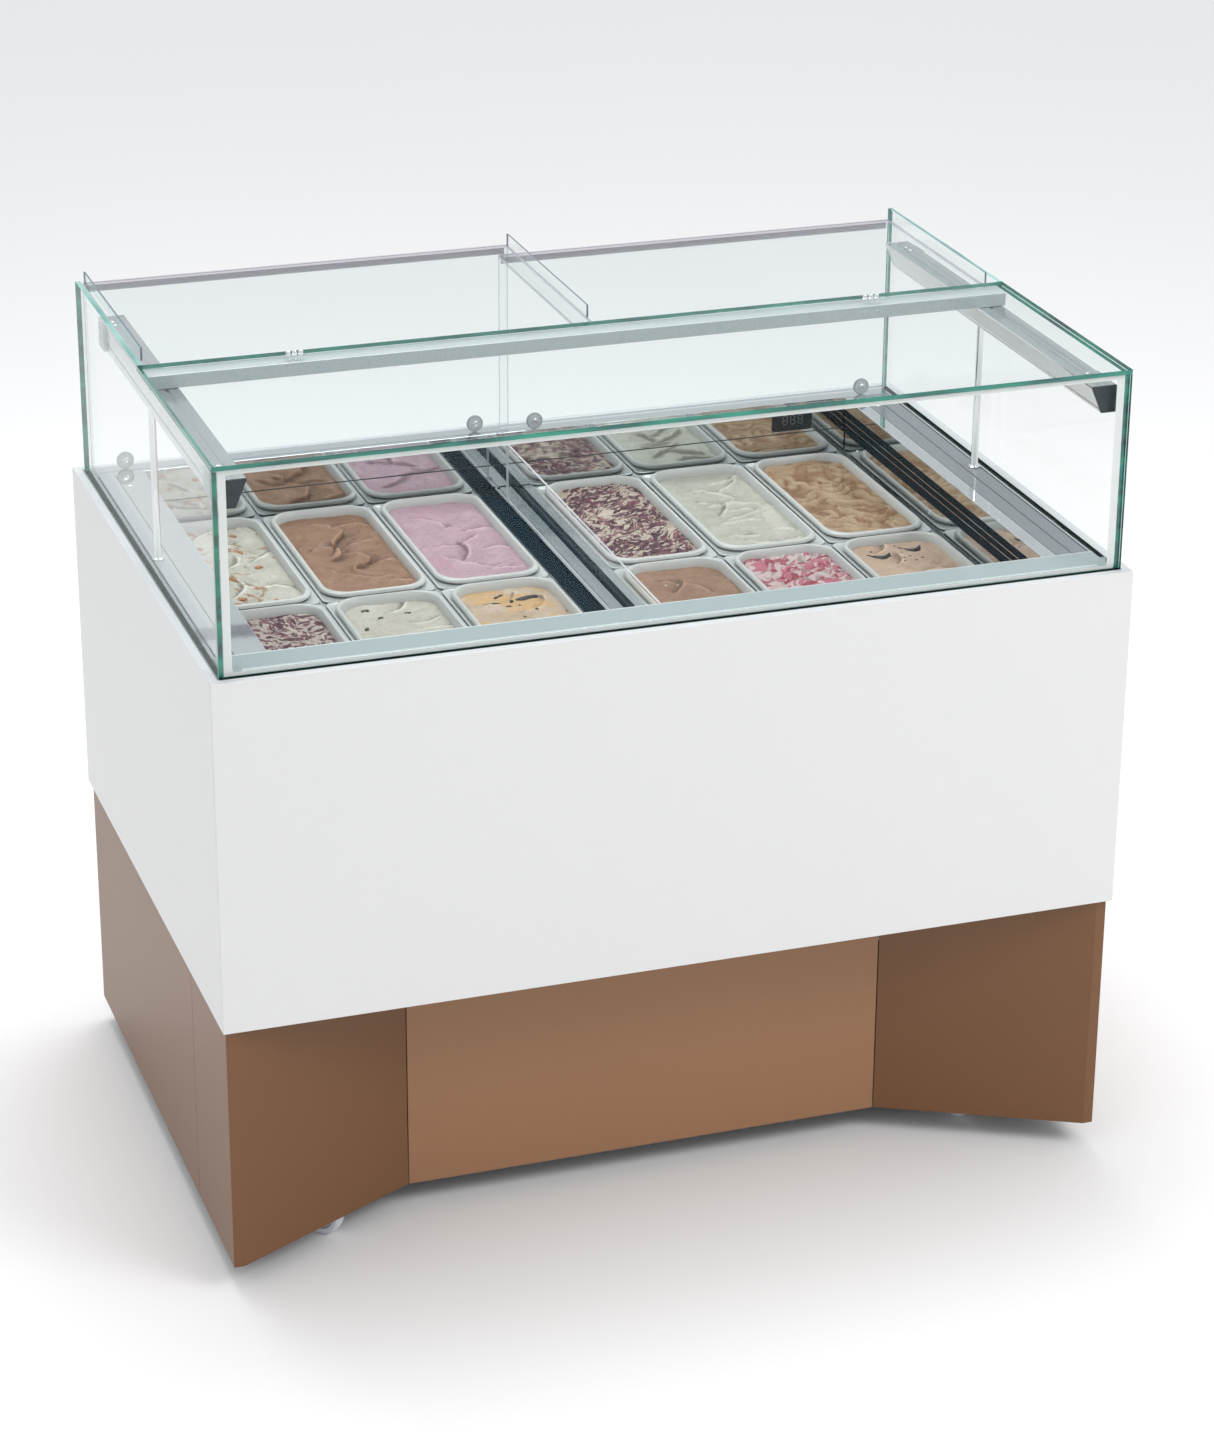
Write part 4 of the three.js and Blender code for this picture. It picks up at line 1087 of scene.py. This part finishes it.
FLAVOURS = {
    "pan_rear_1": flavour(
        "toffee", 0.004, (0.56, 0.535, 0.45), (0.70, 0.68, 0.60),
        [
            shreds(75, 1.8, 0.6, 0.05, 0.615, (0.46, 0.24, 0.10), strength=0.9),
            specks(90, 0.12, 0.4, (0.40, 0.33, 0.24)),
        ],
        0.3, ripple=0.0018, marks=lips(21, 8, 0.008, 0.0026, 0.0016), chip_look=TOFFEE,
        chips=[
            (-0.03, 0.09, 0.008, 0.005, 0.4), (0.025, 0.06, 0.006, 0.004, 1.4),
            (-0.012, 0.02, 0.007, 0.004, 2.2), (0.035, -0.01, 0.006, 0.005, 0.1),
            (-0.035, -0.05, 0.007, 0.004, 0.9), (0.012, -0.08, 0.008, 0.005, 1.9),
            (-0.015, -0.12, 0.006, 0.004, 0.5), (0.03, 0.125, 0.006, 0.004, 2.6),
        ],
    ),
    "pan_rear_2": flavour(
        "milk_chocolate", 0.006, (0.315, 0.165, 0.095), (0.375, 0.210, 0.130), offset=1.1,
        ripple=0.0006,
        marks=[
            (S_STROKE, 0.016, 0.0060, 0.0030), (HOOK_STROKE, 0.013, 0.0044, 0.0022),
            (LOW_STROKE, 0.014, 0.0048, 0.0024), *lips(22, 5, 0.010, 0.0026, 0.0016),
        ],
    ),
    "pan_rear_3": flavour(
        "strawberry", 0.004, (0.53, 0.345, 0.42), (0.62, 0.42, 0.50),
        [
            specks(160, 0.16, 0.4, (0.36, 0.12, 0.22)),
            streaks(24, (1, 0.4, 1), 0.3, 1.0, 0.62, 0.70, (0.62, 0.30, 0.40), strength=0.4),
        ],
        2.3, ripple=0.0016, grit=0.0008,
        marks=[(LOW_STROKE, 0.012, 0.0040, 0.0022), *lips(37, 7, 0.011, 0.0036, 0.0022, 0.7)],
    ),
    "pan_rear_4": flavour(
        "berry_shreds", 0.005, (0.56, 0.47, 0.37), (0.70, 0.61, 0.51),
        [
            shreds(120, 4.0, -0.9, 0.06, 0.490, (0.270, 0.100, 0.120)),
            shreds(150, 4.5, -0.4, 0.06, 0.520, (0.66, 0.56, 0.47)),
            shreds(150, 4.0, -1.3, 0.06, 0.530, (0.150, 0.045, 0.070)),
            shreds(170, 5.0, -0.7, 0.05, 0.575, (0.085, 0.028, 0.045)),
        ],
        3.7, ripple=0.003,
    ),
    "pan_rear_5": flavour(
        "plain_cream", 0.005, (0.52, 0.515, 0.44), (0.62, 0.615, 0.535),
        [streaks(14, (1, 0.5, 1), 0.9, 1.2, 0.60, 0.66, (0.72, 0.70, 0.60), strength=0.7)],
        4.4, ripple=0.0014, marks=lips(45, 12, 0.009, 0.0040, 0.0034, 0.8),
    ),
    "pan_rear_6": flavour(
        "caramel", 0.003, (0.44, 0.285, 0.155), (0.56, 0.40, 0.25),
        [streaks(26, (1, 0.6, 1), 0.4, 1.4, 0.56, 0.64, (0.30, 0.135, 0.045), strength=0.7)],
        # painted shade and painted highlight colours for the caramel's folds
        5.9, painted_light=((0.235, 0.110, 0.040), (0.64, 0.50, 0.35)), folds=(9.5, 1.3, 2.4, 0.0062),
    ),
    "pan_front_1": flavour(
        "berry_swirl", 0.005, (0.52, 0.42, 0.38), (0.68, 0.59, 0.53),
        [
            shreds(95, 3.2, 0.9, 0.07, 0.485, (0.230, 0.080, 0.115)),
            shreds(130, 3.5, 0.4, 0.06, 0.540, (0.68, 0.58, 0.52)),
            shreds(130, 4.0, 1.2, 0.06, 0.545, (0.120, 0.038, 0.060)),
        ],
        6.2, ripple=0.003,
    ),
    "pan_front_2": flavour(
        "cream_raisin", 0.005, (0.62, 0.585, 0.50), (0.71, 0.68, 0.595), offset=7.5,
        marks=lips(58, 8, 0.010, 0.0036, 0.0020), chip_look=RAISIN,
        chips=[
            (-0.034, 0.140, 0.0065, 0.0042, 0.2), (-0.022, 0.105, 0.0060, 0.0040, 0.9),
            (0.018, 0.110, 0.0060, 0.0040, 0.5), (-0.050, 0.075, 0.0050, 0.0032, 1.2),
            (-0.030, 0.02, 0.005, 0.003, 0.4), (0.028, 0.01, 0.005, 0.0035, 1.0),
            (-0.01, -0.06, 0.005, 0.0035, 0.3), (0.03, -0.11, 0.005, 0.0035, 0.8),
        ],
    ),
    "pan_front_3": flavour(
        "orange_biscuit", 0.005, (0.62, 0.46, 0.32), (0.74, 0.60, 0.47),
        [
            streaks(11, (1, 0.6, 1), 0.5, 1.4, 0.50, 0.60, (0.80, 0.50, 0.22), strength=0.8),
            specks(80, 0.10, 0.45, (0.05, 0.045, 0.045)),
        ],
        8.8, ripple=0.0022, marks=lips(69, 8, 0.009, 0.0034, 0.0024), chip_look=COOKIE,
        chips=[
            (-0.030, 0.110, 0.019, 0.0065, 0.15), (0.026, 0.116, 0.018, 0.0070, 0.25),
            (-0.012, 0.136, 0.005, 0.003, 0.6), (-0.004, 0.142, 0.004, 0.003, 0.1),
            (0.002, 0.112, 0.005, 0.003, 1.2), (-0.006, 0.098, 0.004, 0.003, 0.2),
            (0.010, 0.100, 0.003, 0.002, 0.9), (-0.02, 0.02, 0.014, 0.006, 0.8),
            (0.02, -0.04, 0.014, 0.006, 2.0), (-0.02, -0.10, 0.014, 0.006, 0.3),
        ],
    ),
    "pan_front_4": flavour(
        "hazelnut", 0.005, (0.350, 0.195, 0.120), (0.415, 0.245, 0.160),
        [specks(60, 0.05, 0.35, (0.75, 0.68, 0.58))], 9.4,
        ripple=0.0007, marks=lips(70, 6, 0.013, 0.0036, 0.0018, 0.6),
    ),
    "pan_front_5": flavour(
        "cherry_swirl", 0.005, (0.66, 0.50, 0.50), (0.80, 0.68, 0.67),
        [
            shreds(60, 4.0, -0.9, 0.07, 0.475, (0.62, 0.150, 0.22), strength=0.9),
            shreds(85, 5.0, -0.5, 0.07, 0.520, (0.80, 0.64, 0.63), strength=0.9),
            shreds(95, 5.0, -1.2, 0.06, 0.560, (0.42, 0.045, 0.085), strength=0.9),
        ],
        10.6, ripple=0.0024, folds=(4.0, 1.4, 2.0, 0.0035),
    ),
    "pan_front_6": flavour(
        "peach_chip", 0.004, (0.60, 0.42, 0.31), (0.69, 0.51, 0.39),
        [streaks(10, (1, 0.5, 1), 0.4, 1.2, 0.56, 0.66, (0.72, 0.50, 0.33), strength=0.6)],
        11.9, ripple=0.0010, marks=lips(81, 7, 0.011, 0.0032, 0.0018), chip_look=COOKIE, crescent=True,
        chips=[
            (-0.026, 0.110, 0.018, 0.0060, 0.1), (0.026, 0.124, 0.018, 0.0055, 0.05),
            (0.006, 0.148, 0.002, 0.002, 0), (-0.034, 0.142, 0.002, 0.0018, 0),
            (0.000, 0.100, 0.0022, 0.0018, 0), (0.012, 0.106, 0.0018, 0.0018, 0),
            (-0.004, 0.088, 0.0024, 0.002, 0), (0.016, 0.090, 0.002, 0.0018, 0),
            (0.028, 0.096, 0.002, 0.0018, 0), (0.004, 0.120, 0.0016, 0.0016, 0),
            (-0.01, -0.03, 0.012, 0.005, 0.7), (0.02, -0.10, 0.012, 0.005, 2.1),
        ],
    ),
}
for number, entry in enumerate(FLAVOURS.values(), 1):
    entry["seed"] = number


# ---------- the glass case ----------


def build_glass():
    dressed("front_glass", [GLASS, GLASS_EDGE], 0.0007, choose=facing(1))
    dressed("top_glass", [TOP_GLASS, GLASS_EDGE], 0.0007, choose=facing(2))

    def side(centre, normal, area):
        if abs(normal.x) > 0.9:
            return 0
        # top and bottom edges towards the rear take the lighter copy: painted light
        return 1 if centre.y < 0.02 or normal.y > 0.5 else 2

    for node in ("left_side_glass", "right_side_glass"):
        dressed(node, [GLASS, GLASS_EDGE, GLASS_EDGE_PAINTED_LIT], 0.0007, choose=side)
    build_border()
    low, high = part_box("front_glass")
    x, y, foot = high.x, low.y, low.z
    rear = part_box("left_side_glass")[1].y
    for name, x0, x1, y0, y1 in (
        ("front", -x, x, y + 0.0003, y + 0.006), ("left", 0.0003 - x, 0.0077 - x, y + 0.0065, rear),
        ("right", x - 0.0077, x - 0.0003, y + 0.0065, rear),
    ):
        low, high = (x0, y0, foot - 0.0005), (x1, y1, foot)
        block("top_deck", name + "_gasket", low, high, RUBBER, 0.0001)


def build_border():
    """The printed border just inside the front glass."""
    low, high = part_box("front_glass")
    y = high.y + 0.00002
    inner = 0.0105
    x0, x1 = low.x + 0.0085, high.x - 0.0085
    z0, z1 = low.z + 0.001, high.z - 0.001
    for name, a, b in (
        ("left", (x0, z0), (x0 + inner, z1)), ("right", (x1 - inner, z0), (x1, z1)),
        ("top", (x0 + inner, z1 - 0.007), (x1 - inner, z1)),
        ("bottom", (x0 + inner, z0), (x1 - inner, z0 + 0.004)),
    ):
        low, high = (a[0], y, a[1]), (b[0], y + 0.0003, b[1])
        block("front_glass", "front_border_" + name, low, high, PRINT, 0.0001)
    for name, x in (("left", x0 + inner + 0.007), ("right", x1 - inner - 0.007)):
        low, high = (x - 0.006, y, z0 + 0.005), (x + 0.006, y + 0.0012, z0 + 0.017)
        block("front_glass", "front_pad_" + name, low, high, CLEAR_PLATE, 0.0003)
        place = (x, y + 0.0012, z0 + 0.011)
        screw("front_glass", "front_pad_dot_" + name, place, "y", 0.0025, 0.0008)


def build_crossbar():
    def look(centre, normal, area):
        return 1 if normal.y < -0.5 else 0

    dressed("crossbar", [BAR_TOP, BAR_FRONT], 0.0008, choose=look)
    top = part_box("top_glass")[1].z
    profile = [
        (0.0042, 0.0), (0.0042, 0.0014), (0.0034, 0.0022), (0.0036, 0.0050), (0.0026, 0.0068),
        (0.0010, 0.0074),
    ]
    for i, x in enumerate((-0.419, 0.419)):
        for k, dx in enumerate((-0.0088, 0, 0.0088)):
            name, place = f"crossbar_nut_{i}_{k}", (x + dx, -0.014, top)
            nut = turned(name, profile, "z", place, [CHROME], segments=18, smooth_angle=40)
            fitted(nut, "top_glass")


def build_lamps():
    for side, node in ((1, "right_light_profile"), (-1, "left_light_profile")):
        low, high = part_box(node)
        outer = max(abs(low.x), abs(high.x))
        inner = min(abs(low.x), abs(high.x))
        top, base = high.z, low.z
        outline = [
            (outer, base + 0.002), (outer, base + 0.012), (outer - 0.0015, base + 0.013),
            (outer - 0.0015, base + 0.016), (outer, base + 0.017), (outer, top), (inner + 0.020, top),
            (inner + 0.019, top - 0.0015), (inner + 0.016, top - 0.0015), (inner + 0.015, top),
            (inner, top), (inner, top - 0.003), (inner + 0.0028, top - 0.0095),
            (inner + 0.0040, top - 0.0095), (inner + 0.0125, base + 0.0065),
            (inner + 0.0125, base + 0.0050), (inner + 0.015, base), (outer - 0.012, base),
            (outer - 0.012, base + 0.001), (outer - 0.004, base + 0.001), (outer - 0.004, base),
        ]
        points = [(side * x, z) for x, z in outline]

        def look(centre, normal, area):
            slanted = abs(normal.x) > 0.3 and normal.z < -0.2
            if slanted and area > 0.003:
                return 1
            # faces that look down take the dark copy, painted shade under the lamp
            return 2 if normal.z < -0.9 else 0

        cap = 0.004
        looks = [LAMP, DIFFUSER, LAMP_UNDER_PAINTED_SHADE]
        lamp = prism(node + "_look", points, "y", low.y + cap, high.y - cap, looks, 0.0002, look)
        fitted(lamp, node, replace=True)
        ends = [(outer, base), (outer, top), (inner, top), (inner, top - 0.003), (inner + 0.015, base)]
        ends = [(side * x, z) for x, z in ends]
        for end, y, finish in (("front", low.y, DARK_CAP), ("rear", high.y - cap, BAR_TOP)):
            fitted(prism(f"{node}_{end}_cap", ends, "y", y, y + cap, [finish], 0.0008), node)
        for k, y in enumerate((low.y + 0.035, high.y - 0.055)):
            a, b = sorted((side * (outer + 0.0004), side * (outer + 0.0042)))
            corners = (a, y, base + 0.002), (b, y + 0.034, top - 0.001)
            block(node, f"{node}_plate_{k}", *corners, CLEAR_PLATE, 0.0008)
            for m, dy in enumerate((0.009, 0.025)):
                place = (side * (outer - 0.0142), y + dy, top)
                screw(node, f"{node}_screw_{k}_{m}", place, "z", 0.0038, 0.0004)


def build_posts():
    for node in ("left_post", "right_post"):
        low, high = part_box(node)
        centre = ((low.x + high.x) / 2, (low.y + high.y) / 2, low.z)
        tall = high.z - low.z
        profile = [
            (0.0088, 0.0004), (0.0088, 0.0018), (0.0078, 0.0026), (0.0054, 0.0028), (0.0050, 0.0034),
            (0.0050, tall - 0.004), (0.0056, tall - 0.0036), (0.0056, tall),
        ]
        post = turned(node + "_look", profile, "z", centre, [CHROME], segments=32)
        fitted(post, node, replace=True)


def build_doors():
    for node in ("left_door", "right_door"):
        low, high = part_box(node)
        flange = 0.019 if node == "left_door" else 0.020
        top = high.z - flange
        sheet = 0.005

        def look(centre, normal, area):
            if centre.z > top + 0.0003:
                return 0 if abs(normal.x) > 0.9 else 2
            if centre.z > top - sheet - 0.0003:
                return 0 if abs(normal.z) > 0.9 else 1
            return 0 if abs(normal.y) > 0.9 else 1

        cuts = [(Vector((0, 0, z)), Vector((0, 0, 1))) for z in (top, top - sheet)]
        dressed(node, [ACRYLIC, ACRYLIC_EDGE, FLANGE_EDGE], 0.0005, choose=look, cuts=cuts)
        build_corner_band(node, low, high, top)
        for place in ("outer", "inner"):
            build_roller(node, node + "_roller_" + place)


def build_corner_band(node, low, high, top):
    """The frosted band along the door's rear top corner, with a dark line at its middle."""
    rear = high.y
    skin = 0.0004
    x0, x1 = low.x + 0.004, high.x - 0.004
    gap = 0.00005
    outline = [
        (rear - 0.016, top + skin), (rear + skin, top + skin), (rear + skin, top - 0.014),
        (rear + gap, top - 0.014), (rear + gap, top + gap), (rear - 0.016, top + gap),
    ]
    fitted(prism(node + "_corner_band", outline, "x", x0, x1, [CORNER_BAND], 0), node)
    low, high = (x0, rear - 0.0062, top + skin), (x1, rear - 0.0050, top + skin + 0.0002)
    block(node, node + "_corner_line", low, high, FLANGE_EDGE, 0.00005)


def build_roller(door, node):
    low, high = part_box(node)
    centre = (low + high) / 2
    r = (high.z - low.z) / 2
    w = (high.y - low.y) / 2
    half = [
        (0.0034, w), (0.0070, w), (0.0074, w - 0.0006), (r - 0.0028, w - 0.0006), (r - 0.0020, w),
        (r - 0.0008, w - 0.0004), (r, w - 0.0014),
    ]
    front = [(radius, -height) for radius, height in half]
    profile = [*front, *half[::-1], front[0]]
    looks = [ROLLER, ROLLER_EDGE]
    ring = turned(node + "_look", profile, "y", centre, looks, bands=[0] * 4 + [1] * 5 + [0] * 5)
    fitted(ring, node, replace=True)
    profile = [
        (0.0014, -w - 0.0008), (0.0016, -w - 0.0016), (0.0030, -w - 0.0014), (0.0044, -w - 0.0006),
        (0.0044, -w - 0.0002), (0.0030, -w - 0.0002), (0.0030, w + 0.0006),
    ]
    fitted(turned(node + "_pin", profile, "y", centre, [CHROME], segments=24), door)


def build_floor():
    look = Look("floor")
    cloud = look.noise(0.6, 2.0)
    tint = look.mix(cloud, (0.93, 0.93, 0.93), (0.95, 0.95, 0.95))
    material = look.surface(Base_Color=tint, Roughness=0.9, Specular_IOR_Level=0.1)
    size = 30
    corners = [(-size, -size, 0), (size, -size, 0), (size, size, 0), (-size, size, 0)]
    floor = new_object("floor", corners, [(0, 1, 2, 3)], [material])


build_camera()
build_light()
build_floor()
build_panels()
build_casters()
build_machine()
build_well()
for pan_node, pan_flavour in FLAVOURS.items():
    build_pan(pan_node, pan_flavour)
build_glass()
build_crossbar()
build_lamps()
build_posts()
build_doors()

bpy.context.scene.view_settings.view_transform = "Standard"
bpy.context.scene.cycles.transparent_max_bounces = 32
